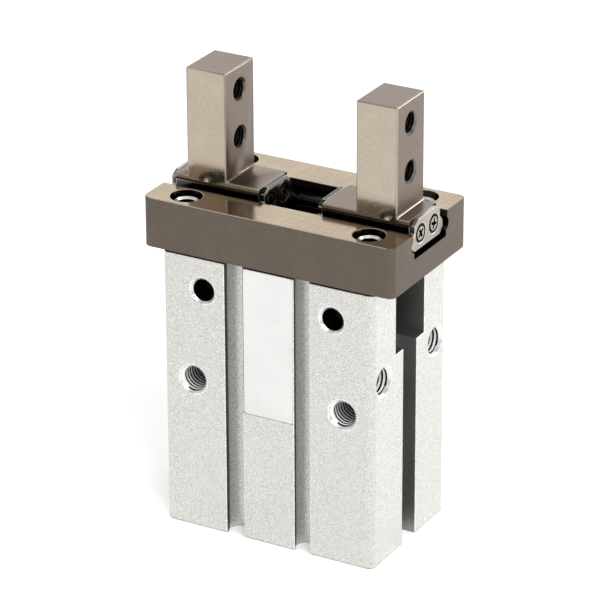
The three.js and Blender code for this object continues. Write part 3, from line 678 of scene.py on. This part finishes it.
def body_mesh():
    below, above = BODY_LOW.z - 1, BODY_HIGH.z + 1
    tools = central_cuts(below, above)
    for side_name, side in SIDES.items():
        tools += side_cuts(side_name, side, below)
    for face in FACES.values():
        port = (0, face * PORT.y, PORT.z)
        tools += threaded_hole("X", M5, BODY_HIGH.x, 1, PORT.depth, port)
    tools.append(rod("Z", PLUG_WELL.radius, [below, PLUG_WELL.top], plug_centre()))
    tools += [label_pocket(), seam_cut()]
    blank = prism("Z", rounded_rectangle(BODY_HIGH.x, HALF_DEPTH, CORNER), BODY_LOW.z, BODY_HIGH.z)
    mesh = softened(carved(blank, tools), width=0.14, least_area=6, where=off_label)
    return shaded(zoned(mesh, BODY_ZONES, bright=on_outer_edge))


def off_label(middle):
    """The shallow pocket for the label keeps sharp edges."""
    near = 2 * LABEL_GAP
    across = LABEL_LOW.x - near < middle.x < LABEL_HIGH.x + near
    upright = LABEL_LOW.z - near < middle.z < LABEL_HIGH.z + near
    return not (across and upright and middle.y < LABEL_HIGH.y + SKIN)


def on_outer_edge(centre, normal):
    """Edges between the seam and the foot, on the outside of the body, which keep the painted highlight."""
    near = 0.2
    upright = near < centre.z < BODY_HIGH.z - SEAM.height - near
    return upright and (abs(centre.x) > BODY_HIGH.x - near or abs(centre.y) > HALF_DEPTH - near)


def from_pin(centre):
    """Distance from the axis of the nearer lever pin."""
    return hypot(abs(centre.x) - PIVOT.x, centre.z - PIVOT.z)


def nearest_hole(centre):
    """Of the nearest threaded hole: distance from its axis, depth below its face, and which axis that is."""
    x, y, z = abs(centre.x), abs(centre.y), centre.z
    in_face = (hypot(x - FACE_HOLE.x, z - FACE_HOLE.z), HALF_DEPTH - y, 1)
    in_base = (hypot(x - BASE_HOLE.x, y - BASE_HOLE.y), z, 2)
    in_port = (hypot(y - PORT.y, z - PORT.z), BODY_HIGH.x - centre.x, 0)
    reached = [hole for hole in (in_face, in_base, in_port) if hole[1] < DEEPEST]
    return min(reached, default=in_face)


def on_countersink(centre, normal):
    across, deep, axis = nearest_hole(centre)
    if across < M5.major + 0.5 and SKIN < deep < MOUTH:
        return slanted(normal[axis])
    near_pin = from_pin(centre) < SHAFT_RADIUS + 0.7 and SKIN < HALF_DEPTH - abs(centre.y) < MOUTH
    return near_pin and slanted(normal.y)


# The lever pin bores take painted shade.
def in_pin_bore(centre, normal):
    return from_pin(centre) < SHAFT_BORE + 0.05


def in_thread_root(centre, normal):
    """The bottom of a hole and the thread's root and flanks, away from the mouth, which take painted shade.
    """
    across, deep, axis = nearest_hole(centre)
    at_root = M5.minor + 0.04 < across < M5.major + 0.05
    at_bottom = across < M5.major and abs(normal[axis]) > 0.8 and deep > 3
    return at_bottom or (at_root and 0.7 < deep < DEEPEST)


# The rest of a threaded hole takes the near-white thread colour, a painted highlight.
def in_threaded_hole(centre, normal):
    across, deep, _ = nearest_hole(centre)
    return across < M5.major + 0.05 and SKIN < deep < DEEPEST


def in_shadow(centre, normal):
    """The step under the guide, the undercut lips of the grooves and the lowest edge."""
    step = centre.z > BODY_HIGH.z - SEAM.height - 2 * SKIN
    lip = abs(normal.x) > 0.7 and in_switch_groove(centre) and abs(centre.y) > HALF_DEPTH - 1.7
    foot = SKIN < centre.z < 0.15
    return step or lip or foot


def in_switch_groove(centre):
    deep = abs(centre.y) > HALF_DEPTH - SWITCH_GROOVE.depth - SWITCH_GROOVE.radius - 0.1
    reach = SWITCH_GROOVE.radius + 0.1
    return deep and any(abs(centre.x - (low + high) / 2) < reach for low, high in GROOVE_MOUTH.values())


def on_groove_wall(centre, normal):
    return in_switch_groove(centre) and abs(centre.y) < HALF_DEPTH - 0.05 and abs(normal.z) < SQUARE


def inside_body(centre, normal):
    """Switch slots, lever cavity and bore: all that isn't an outer face or a front or rear groove, painted
    darker as shade.
    """
    on_outside = abs(centre.x) > BODY_HIGH.x - SKIN or abs(centre.y) > HALF_DEPTH - 0.21
    on_corner = abs(centre.x) > BODY_HIGH.x - CORNER and abs(centre.y) > HALF_DEPTH - CORNER
    level = abs(normal.z) > SQUARE and (centre.z > BODY_HIGH.z - SKIN or centre.z < SKIN)
    return not (on_outside or in_switch_groove(centre) or on_corner or level)


BODY_ZONES = {
    on_countersink: COUNTERSINK,
    in_pin_bore: DARK_BORE,
    in_thread_root: DARK_BORE,
    in_threaded_hole: THREAD_PAINTED_HIGHLIGHT,
    in_shadow: DARK_BORE,
    on_groove_wall: GROOVE_ALUMINIUM,
    inside_body: SHADED_SLOT_ALUMINIUM,
}


# ---- Guide ----

def channel_outline():
    """The finger channel seen from its end: straight lips, a ball groove each side, then the floor."""
    y, z = BALL_CENTRE.y, BALL_CENTRE.z
    lip = degrees(acos((CHANNEL.half - y) / BALL_GROOVE))
    sill = degrees(acos((CHANNEL.lower - y) / BALL_GROOVE))
    ball_groove = arc((y, z), BALL_GROOVE, -sill, lip, 12)
    floor, top = (CHANNEL.lower, CHANNEL.floor), (CHANNEL.half, GUIDE_HIGH.z + 1)
    return symmetric([floor, *ball_groove, top])


def guide_mesh():
    length = [-GUIDE_HIGH.x - 1, GUIDE_HIGH.x + 1]
    floor, radius, top = COUNTERBORE.floor, COUNTERBORE.radius, GUIDE_HIGH.z
    mouth = [(radius, top - 0.1), (radius + 0.6, top + 0.5), (0, top + 0.5)]
    counterbore = [(0, floor), (radius, floor), *mouth]
    wide = [-LEVER_WINDOW.half_width, LEVER_WINDOW.half_width]
    tools = [prism("X", channel_outline(), *length)]
    for side in SIDES.values():
        long = [side * PIVOT.x + end * LEVER_WINDOW.half_length for end in (-1, 1)]
        tools.append(block(long, wide, [GUIDE_LOW.z - 1, CHANNEL.floor + 1]))
        for face in FACES.values():
            spot = (*screw_place(side, face), 0)
            tools.append(turned("Z", counterbore, spot))
            tools.append(rod("Z", COUNTERBORE.shank_hole, [GUIDE_LOW.z - 1, top - 1], spot))
    blank = prism("Z", rounded_rectangle(GUIDE_HIGH.x, HALF_DEPTH, CORNER), GUIDE_LOW.z, top)
    mesh = softened(carved(blank, tools), width=0.12, least_area=6, where=off_guide_end)
    return shaded(zoned(mesh, GUIDE_ZONES, bright=on_guide_rim_highlight))


def off_guide_end(middle):
    return abs(middle.x) < GUIDE_HIGH.x - 0.05


def on_guide_rim_highlight(centre, normal):
    """The long upper edges and the channel's two lips keep the painted highlight; the other edges don't."""
    return centre.z > GUIDE_HIGH.z - 0.13 and abs(centre.x) < GUIDE_HIGH.x - CORNER


def on_guide_top(centre, normal):
    return normal.z > SQUARE and centre.z > GUIDE_HIGH.z - SKIN


# The channel's lip walls above the balls take painted shade.
def on_channel_lip(centre, normal):
    above_balls = centre.z > BALL_CENTRE.z + BALL_RADIUS
    return above_balls and abs(normal.y) > SQUARE and abs(centre.y) < CHANNEL.half + 0.1


def on_counterbore_rim(centre, normal):
    return 0.3 < normal.z < SQUARE and centre.z > GUIDE_HIGH.z - 0.3


def inside_guide(centre, normal):
    """Channel, windows and counterbores, painted near black as shade."""
    on_side = abs(centre.x) > GUIDE_HIGH.x - CORNER or abs(centre.y) > HALF_DEPTH - CORNER
    return not on_side and abs(centre.z - GUIDE_LOW.z) > SKIN


GUIDE_ZONES = {
    on_guide_top: GUIDE_TOP,
    on_channel_lip: SHADED_CHANNEL_LIP,
    on_counterbore_rim: COUNTERBORE_RIM,
    inside_guide: PAINTED_SHADE_STEEL,
}


def screw_place(side, face):
    middle = (SCREW_LOW + SCREW_HIGH) / 2
    return side * middle.x, face * middle.y


def cap_screw_mesh(turn):
    """Socket head cap screw about its own axis, its hexagon turned by some degrees."""
    top, radius, seat = SCREW_HIGH.z, (SCREW_HIGH.x - SCREW_LOW.x) / 2, COUNTERBORE.floor
    shank, point, crown = 1.5, 1.2, radius - 0.42
    profile = [
        (0, SCREW_LOW.z), (point, SCREW_LOW.z), (shank, SCREW_LOW.z + 0.4), (shank, seat),
        (radius, seat), (radius, top - 0.5), (crown, top - 0.03), (crown, top), (0, top),
    ]
    corner, lead = HEXAGON.radius, HEXAGON.lead
    mouth = corner + 1.2 * lead
    lead_in = [(0, top - lead), (corner, top - lead), (mouth, top), (mouth, top + 1), (0, top + 1)]
    socket = rod("Z", corner, [top - HEXAGON.depth, top + 1], segments=6)
    moved(socket, Matrix.Rotation(radians(turn), 4, "Z"))
    screw = carved(turned("Z", profile, segments=64), [socket, turned("Z", lead_in)])
    return shaded(zoned(screw, SCREW_ZONES), angle=30)


def on_screw_crown_highlight(centre, normal):
    """The rear part of the hexagon's lead-in, which takes a painted highlight; the front part keeps the
    screw's dark colour.
    """
    across = hypot(centre.x, centre.y)
    return centre.y > -0.6 and 0.3 < normal.z < 0.95 and across < HEXAGON.radius + HEXAGON.lead


def in_socket(centre, normal):
    across = hypot(centre.x, centre.y)
    return across < HEXAGON.radius + 0.05 and SCREW_HIGH.z - HEXAGON.depth - 0.1 < centre.z


SCREW_ZONES = {on_screw_crown_highlight: SCREW_CROWN_HIGHLIGHT, in_socket: RECESS_SHADE_AND_JOINT}


# ---- Fingers ----

def finger_mesh():
    """The right finger: carriage and post in one piece."""
    inner, outer, half = CARRIAGE.inner, CARRIAGE.outer, CARRIAGE.half
    bottom, top = FINGER_LOW.z, FINGER_HIGH.z
    outline = [
        (inner, bottom), (outer, bottom), (outer, CARRIAGE_TOP), (POST.outer, CARRIAGE_TOP),
        (POST.outer, top), (POST.inner, top), (POST.inner, CARRIAGE_TOP),
        (inner, CARRIAGE_TOP),
    ]
    notch = [PIVOT.x + FINGER_OFFSET + end * NOTCH.half_length for end in (-1, 1)]
    tools = [block(notch, [-NOTCH.half_width, NOTCH.half_width], [bottom - 1, NOTCH.top])]
    for face in FACES.values():
        tools.append(rod("X", BALL_GROOVE, [0, outer + BEYOND], (0, face * BALL_CENTRE.y, BALL_CENTRE.z)))
    for height in FINGER_HOLES:
        tools.append(drilled_through(height))
        tools.append(tap("X", M4, POST.inner - 0.9, POST.outer + 0.9, (0, 0, height)))
    for face in FACES.values():
        relief = [face * (half - RACEWAY.depth), face * (half + 1)]
        tools.append(block([inner - 1, outer + 1], relief, [bottom - 1, RACEWAY.top]))
    blank = prism("Y", outline, -half, half)
    mesh = softened(carved(blank, tools), width=0.3, least_area=5, where=off_finger_hole)
    return shaded(zoned(mesh, FINGER_ZONES, bright=off_carriage_end))


def drilled_through(height):
    """A tapping drill with a countersink at both mouths, through the post."""
    minor, mouth, clear = M4.minor, M4.major + 0.15, 0.5
    near, far = POST.inner, POST.outer
    profile = [
        (0, near - clear), (mouth + clear, near - clear), (minor, near + mouth - minor),
        (minor, far - mouth + minor), (mouth + clear, far + clear), (0, far + clear),
    ]
    return turned("X", profile, (0, 0, height))


def from_finger_hole(point):
    """Distance from the axis of the nearer hole in the post, and depth below the post's nearer face."""
    across = min(hypot(point.y, point.z - height) for height in FINGER_HOLES)
    return across, min(point.x - POST.inner, POST.outer - point.x)


def off_finger_hole(middle):
    across, _ = from_finger_hole(middle)
    return across > M4.major + 0.5


def on_finger_countersink(centre, normal):
    across, deep = from_finger_hole(centre)
    return deep < MOUTH and across < M4.major + 0.2 and slanted(normal.x)


# Thread roots in the posts take painted shade.
def in_finger_thread_root(centre, normal):
    across, deep = from_finger_hole(centre)
    return deep > 0.4 and M4.minor + 0.04 < across < M4.major + 0.05


def in_finger_hole(centre, normal):
    across, deep = from_finger_hole(centre)
    return deep > SKIN and across < M4.major + 0.15


def on_shaded_raceway(centre, normal):
    """The relieved lower part of the carriage, with the ball grooves, painted near black as the shade in the
    gap under the guide's lip.
    """
    return abs(normal.y) > 0.3 and centre.z < RACEWAY.top + SKIN


def on_ground_side(centre, normal):
    return abs(normal.y) > SQUARE and abs(centre.y) > CARRIAGE.half - SKIN


def at_carriage_end(centre, normal):
    """The narrow dark line where a stop plate lies against the carriage."""
    past = centre.x > CARRIAGE.outer - 0.16 or centre.x < CARRIAGE.inner + 0.16
    return past and centre.z < CARRIAGE_TOP + SKIN


# Bevels away from the carriage's ends keep the painted highlight.
def off_carriage_end(centre, normal):
    return not at_carriage_end(centre, normal)


FINGER_ZONES = {
    on_finger_countersink: DARK_STEEL_EDGE,
    in_finger_thread_root: RECESS_SHADE_AND_JOINT,
    in_finger_hole: THREADED_STEEL,
    on_shaded_raceway: PAINTED_SHADE_STEEL,
    on_ground_side: FINGER_GROUND,
    at_carriage_end: RECESS_SHADE_AND_JOINT,
}


def plate_mesh(end):
    """Stop plate on a carriage's end, for the right finger."""
    low, high = box_mm(f"end_plate_right_{end}")
    outward = ENDS[end]
    face = high.x if outward > 0 else low.x
    half = 4.75  # the plate's waist; its ears are wider
    rim = [(3.3, high.z), (half, high.z - 0.9), (half, 62.1), (5.8, 61.0), (5.8, 59.6), (half, low.z)]
    sink = PLATE_SINK
    profile = [
        (0, face - outward * sink.depth), (sink.floor, face - outward * sink.depth),
        (sink.floor, face - outward * sink.taper), (sink.mouth, face),
        (sink.mouth, face + outward), (0, face + outward),
    ]
    tools = [turned("X", profile, (0, side * PLATE_SCREW.y, PLATE_SCREW.z)) for side in FACES.values()]
    plate = prism("X", symmetric(rim), low.x, high.x)

    # The countersinks round the plate's screws take painted shade.
    def on_sink(centre, normal):
        within = low.x + 2 * SKIN < centre.x < high.x - 2 * SKIN and abs(normal.x) < SQUARE
        beside = abs(centre.y) < PLATE_SCREW.y + sink.mouth + 0.05
        return within and beside and abs(centre.z - PLATE_SCREW.z) < sink.mouth + 0.05

    return shaded(zoned(softened(carved(plate, tools), width=0.07, least_area=1), [on_sink]))


def cross_screw_mesh(end):
    """Countersunk screw with a cross recess, about its own axis, for the right finger."""
    low, high = box_mm(f"plate_screw_right_{end}_rear")
    outward, sizes, recess = ENDS[end], CROSS_SCREW, CROSS_RECESS
    face, tip = (high.x, low.x) if outward > 0 else (low.x, high.x)
    profile = [
        (0, tip), (sizes.point, tip), (sizes.shank, tip + outward * 0.3),
        (sizes.shank, face - outward * 0.85), (sizes.head, face - outward * 0.35),
        (sizes.head, face - outward * 0.1), (sizes.rim, face), (0, face),
    ]
    reach, half = recess.reach, recess.half_width
    wing = [(-reach, -half), (reach, -half), (reach, half), (-reach, half)]
    tools = []
    for turn in (45, 135):
        cut = prism("X", wing, face - recess.depth, face + recess.depth)
        tools.append(moved(cut, Matrix.Rotation(radians(turn), 4, "X")))
    middle = [face - outward * recess.middle_depth, face + outward]
    tools.append(rod("X", recess.middle, middle, segments=24))

    def in_recess(centre, normal):
        """The cross itself and the head's flank, which lies in the shadow of the countersink."""
        across, deep = hypot(centre.y, centre.z), abs(centre.x - face)
        return 0.03 < deep < 0.8 and not reach <= across <= 1.2 or deep > 0.12

    screw = carved(turned("X", profile, segments=40), tools)
    return shaded(zoned(screw, [in_recess]), angle=30)


def balls_mesh():
    """The rear row of balls of the right finger, each ball its own sphere."""
    first, last = BALLS_LOW.x + BALL_RADIUS, BALLS_HIGH.x - BALL_RADIUS
    spacing = (last - first) / (BALL_COUNT - 1)
    radius = min(BALL_RADIUS, spacing / 2 - 0.01)
    work = bmesh.new()
    for i in range(BALL_COUNT):
        matrix = Matrix.Translation((first + spacing * i, BALL_CENTRE.y, BALL_CENTRE.z))
        bmesh.ops.create_uvsphere(work, u_segments=24, v_segments=16, radius=radius, matrix=matrix)
    mesh = bpy.data.meshes.new("balls")
    work.to_mesh(mesh)
    work.free()
    return shaded(mesh, angle=60)


# ---- Levers, shafts and the lower end ----

def lever_mesh():
    """Bell crank of the right side, leaned to the open position."""
    half, neck_half = box_mm("lever_right")[1].y, LEVER.neck_half
    hub = turned("Y", [(0, -half), *chamfered(LEVER.hub, -half, half, 0.25), (0, half)])
    neck = [(-2.6, 0), (2.6, 0), (1.3, 11.6), (1.25, 12.2), (-1.25, 12.2), (-1.3, 11.6)]
    fork_width = [-FORK.half_width, FORK.half_width]
    parts = [
        prism("Y", neck, -neck_half, neck_half),
        rod("Y", LEVER.head, [-neck_half, neck_half], (0, 0, ARM_UP)),
        block([0, -FORK.reach], fork_width, [-FORK.half_height, FORK.half_height]),
    ]
    through, slot = [-BEYOND, BEYOND], FORK.slot_half
    cutters = [
        rod("Y", slot, through, (-FORK.slot_end, 0, 0)),
        block([-FORK.slot_end, -FORK.reach - 1], through, [-slot, slot]),
        rod("Y", LEVER.bore, through),
    ]
    whole = carved(carved(hub, parts, "UNION"), cutters)
    lean = Matrix.Translation(PIVOT) @ Matrix.Rotation(LEAN, 4, "Y")
    return moved(shaded(softened(whole, width=0.15, least_area=4)), lean)


def pin_mesh():
    """A plain pin along Y with chamfered ends and a turned centre mark in each."""
    low, high, mark = SHAFT_LOW.y, SHAFT_HIGH.y, 0.5
    outside = chamfered(SHAFT_RADIUS, low, high, 0.4)
    return shaded(turned("Y", [(0, low + mark), (mark, low), *outside, (mark, high), (0, high - mark)]))


def end_cap_mesh():
    """Turned cap in the cylinder's lower end, with a shallow dish and its seal groove."""
    radius, low, high = CAP_HIGH.x, CAP_LOW.z, CAP_HIGH.z
    chamfer, dish, groove = 0.3, low + 1.2, Sizes(radius=radius - 1.3, low=low + 2, high=low + 3.8)
    profile = [
        (0, dish), (5.3, dish), (5.5, dish - 0.1), (6, low + 0.15), (6.15, low),
        (radius - chamfer, low), (radius, low + chamfer), (radius, groove.low),
        (groove.radius, groove.low), (groove.radius, groove.high),
        (radius, groove.high), (radius, high), (0, high),
    ]
    return shaded(turned("Z", profile, segments=FINE))


def retaining_ring_mesh():
    """Internal C ring with two eyes for pliers beside its gap."""
    low, high, inner, outer = CLIP_LOW.z, CLIP_HIGH.z, CLIP.inner, CLIP_HIGH.x
    centres = [(side * CLIP.eye_x, CLIP.eye_y, 0) for side in SIDES.values()]
    band = turned("Z", [(inner, low), (outer, low), (outer, high), (inner, high)], segments=FINE)
    gap = block([-CLIP.half_gap, CLIP.half_gap], [-12, -5], [0, 5])
    eyes = [rod("Z", CLIP.eye, [low, high], centre) for centre in centres]
    holes = [rod("Z", CLIP.eye_hole, [0, 5], centre) for centre in centres]
    whole = carved(carved(carved(band, [gap]), eyes, "UNION"), holes)
    return shaded(softened(whole, width=0.08, least_area=2))


def piston_rod_mesh():
    """Ground rod: a spigot with a bolt hole below for the piston, and a stud on top for the joint block."""
    radius, stud, spigot, shoulder, top = ROD_HIGH.x, 1.6, 2.55, 32.35, 44.9
    bolt_hole = [(0, 28.5), (stud, 28.5), (stud, ROD_LOW.z)]
    outside = [(spigot, ROD_LOW.z), (spigot, shoulder), (radius, shoulder), (radius, top - 0.3)]
    upper_end = [(radius - 0.3, top), (stud, top), (stud, ROD_HIGH.z), (0, ROD_HIGH.z)]
    return shaded(turned("Z", [*bolt_hole, *outside, *upper_end]))


def plug_centre():
    middle = (PLUG_LOW + PLUG_HIGH) / 2
    return (middle.x, middle.y, 0)


def plug_mesh():
    radius = (PLUG_HIGH.x - PLUG_LOW.x) / 2
    low, high, edge, corner = PLUG_LOW.z, PLUG_HIGH.z, 0.25, 0.08
    foot = [(0, low), (radius - edge, low), (radius - corner, low + corner), (radius, low + edge)]
    return shaded(turned("Z", [*foot, (radius, high), (0, high)], plug_centre()))


def label_mesh():
    """Blank film with rounded corners, laid in its shallow pocket."""
    middle, half = (LABEL_HIGH + LABEL_LOW) / 2, (LABEL_HIGH - LABEL_LOW) / 2
    outline = [(u + middle.x, v + middle.z) for u, v in rounded_rectangle(half.x, half.z, 0.6)]
    film = prism("Y", outline, LABEL_LOW.y, LABEL_HIGH.y)
    return shaded(softened(film, width=0.04, least_area=1, segments=2))


# ---- Assembly ----

def add_housing():
    body_looks = [ALUMINIUM, ALUMINIUM_EDGE_HIGHLIGHT, *BODY_ZONES.values()]
    guide_looks = [HEAT_TREATED, GUIDE_EDGE_HIGHLIGHT, *GUIDE_ZONES.values()]
    screw_looks = [DARK_STEEL, SCREW, *SCREW_ZONES.values()]
    clip_looks = [DARK_STEEL, DARK_STEEL_EDGE]
    piece("body_shell", body_mesh(), "housing", body_looks, ["cylinder_body"])
    piece("guide_block", guide_mesh(), "housing", guide_looks, ["guide_rail"])
    piece("label_film", label_mesh(), "housing", [LABEL_FILM, LABEL_FILM], ["label_plate"])
    piece("cylinder_end_cap", end_cap_mesh(), "housing", [TURNED_ALUMINIUM], ["end_cap"])
    piece("c_clip", retaining_ring_mesh(), "housing", clip_looks, ["retaining_ring"])
    piece("air_passage_plug", plug_mesh(), "housing", [DARK_STEEL], ["passage_plug"])
    for side_name, side in SIDES.items():
        pin = moved(pin_mesh(), Matrix.Translation((side * PIVOT.x, 0, PIVOT.z)))
        name = f"lever_shaft_{side_name}"
        piece(f"pivot_pin_{side_name}", pin, "housing", [DARK_STEEL], [name])
        for face_name, face in FACES.items():
            spot = Matrix.Translation((*screw_place(side, face), 0))
            screw = moved(cap_screw_mesh(17 + 40 * side + 25 * face), spot)
            where = f"{side_name}_{face_name}"
            replaced = [f"guide_screw_{where}"]
            piece(f"cap_screw_{where}", screw, "housing", screw_looks, replaced)


def add_fingers():
    finger, balls = finger_mesh(), balls_mesh()
    finger_looks = [FINGER_DARK, FINGER_EDGE_HIGHLIGHT, *FINGER_ZONES.values()]
    # The inner plates and their screws take painted shade; the outer ones show the plain steel.
    plate_looks = {"inner": SHADED_PLATE, "outer": PLATE}
    screw_looks = {"inner": SHADED_SCREW, "outer": PLATE}
    for side_name, side in SIDES.items():
        body, name = f"finger_slide_{side_name}", f"finger_{side_name}"
        piece(f"jaw_{side_name}", on_side(side, finger), body, finger_looks, [name])
        for end in ENDS:
            where = f"{side_name}_{end}"
            plate, replaced = on_side(side, plate_mesh(end)), [f"end_plate_{where}"]
            looks = [plate_looks[end], PLATE_EDGE_HIGHLIGHT, RECESS_SHADE_AND_JOINT]
            piece(f"stop_plate_{where}", plate, body, looks, replaced)
            for face_name, face in FACES.items():
                turn = Matrix.Rotation(radians(20 * face + 10 * side), 4, "X")
                shift = Matrix.Translation((0, face * PLATE_SCREW.y, PLATE_SCREW.z))
                screw = on_side(side, moved(cross_screw_mesh(end), turn, shift))
                spot = f"{where}_{face_name}"
                looks, replaced = [screw_looks[end]] * 2 + [RECESS_SHADE_AND_JOINT], [f"plate_screw_{spot}"]
                piece(f"cross_screw_{spot}", screw, body, looks, replaced)
        for face_name, face in FACES.items():
            shift = Matrix.Translation((0, (face - 1) * BALL_CENTRE.y, 0))
            row = on_side(side, moved(balls.copy(), shift))
            spot = f"{side_name}_{face_name}"
            piece(f"balls_{spot}", row, body, [POLISHED], [f"ball_row_{spot}"])


def on_side(side, mesh):
    return mirrored(mesh) if side < 0 else mesh


def add_linkage():
    lever = lever_mesh()
    for side_name, side in SIDES.items():
        mesh, looks = on_side(side, lever), [DARK_STEEL, DARK_STEEL_EDGE]
        body, name = f"lever_arm_{side_name}", f"lever_{side_name}"
        piece(f"bell_crank_{side_name}", mesh, body, looks, [name])
    piece("ground_rod", piston_rod_mesh(), "piston_assembly", [POLISHED], ["piston_rod"])


def paint_inner_nodes():
    """The CAD nodes that stay in view get their slot's material."""
    looks = {
        "cap_aluminium": TURNED_ALUMINIUM,
        "dark_steel": DARK_STEEL,
        "polished_steel": POLISHED,
        "bronze": BRONZE,
        "rubber": RUBBER,
        "magnet": MAGNET,
    }
    slots = {entry["node"]: entry["material_slot"] for entry in frame["record"]["subparts"]}
    for name, node in frame["nodes"].items():
        if not node.hide_render:
            node.data.materials.clear()
            node.data.materials.append(looks[slots[name]])


# ---- Studio ----

def add_camera():
    """Long lens, a little above the object and to the right of its front."""
    azimuth, elevation, roll = radians(29.30), radians(24.19), radians(-0.217)
    target, distance = Vector((0, 0, 0.042)), 0.650
    level = cos(elevation)
    back = Vector((sin(azimuth) * level, -cos(azimuth) * level, sin(elevation)))
    right = Vector((cos(azimuth), sin(azimuth), 0))
    up = back.cross(right)
    rolled_right = right * cos(roll) + up * sin(roll)
    rolled_up = up * cos(roll) - right * sin(roll)
    rotation = Matrix((rolled_right, rolled_up, back)).transposed()
    lens = bpy.data.cameras.new("camera")
    lens.lens = 218.6
    lens.sensor_width = 36
    lens.shift_x, lens.shift_y = -0.00813, 0.00507
    lens.clip_start = 0.01
    camera = object_from("camera", lens)
    camera.matrix_world = Matrix.Translation(target + back * distance) @ rotation.to_4x4()
    bpy.context.scene.camera = camera


def add_light(name, place_m, size_m, power):
    """A square softbox aimed at the middle of the object."""
    light = bpy.data.lights.new(name, "AREA")
    light.size = size_m
    light.energy = power
    lamp = object_from(name, light)
    lamp.location = place_m
    aim = Vector((0, 0, 0.045)) - Vector(place_m)
    lamp.rotation_euler = aim.to_track_quat("-Z", "Y").to_euler()


def add_studio():
    """Pale surroundings, four softboxes and a floor that glows a little, so that it reads as white."""
    world = bpy.data.worlds.new("studio")
    bpy.context.scene.world = world
    world.use_nodes = True
    background = world.node_tree.nodes["Background"]
    background.inputs["Color"].default_value = (1, 1, 1, 1)
    background.inputs["Strength"].default_value = 0.54
    add_light("key", (0.38, -0.30, 0.55), size_m=0.35, power=3.2)
    add_light("fill", (-0.6, -0.5, 0.4), size_m=0.5, power=0.9)
    add_light("side", (0.45, 0.62, 0.16), size_m=0.4, power=2.2)
    add_light("backdrop", (-0.36, 0.67, 0.40), size_m=0.65, power=1.4)
    floor = object_from("floor", floor_mesh())
    material, tree, shader = new_material("floor", Roughness=0.9, Emission_Strength=0.27)
    feed(tree, shader.inputs["Emission Color"], grey(1))
    shade = blended(tree, noise(tree, 60), grey(0.93), grey(0.95))
    tree.links.new(shade, shader.inputs["Base Color"])
    floor.data.materials.append(material)
    bpy.context.scene.view_settings.view_transform = "Standard"


def floor_mesh():
    """A square in metres, a hair below the object's foot."""
    half, level = 4.0, -0.00005
    mesh = bpy.data.meshes.new("floor")
    corners = [(-half, -half, level), (half, -half, level), (half, half, level), (-half, half, level)]
    mesh.from_pydata(corners, [], [(0, 1, 2, 3)])
    return mesh


add_camera()
add_studio()
add_housing()
add_fingers()
add_linkage()
paint_inner_nodes()
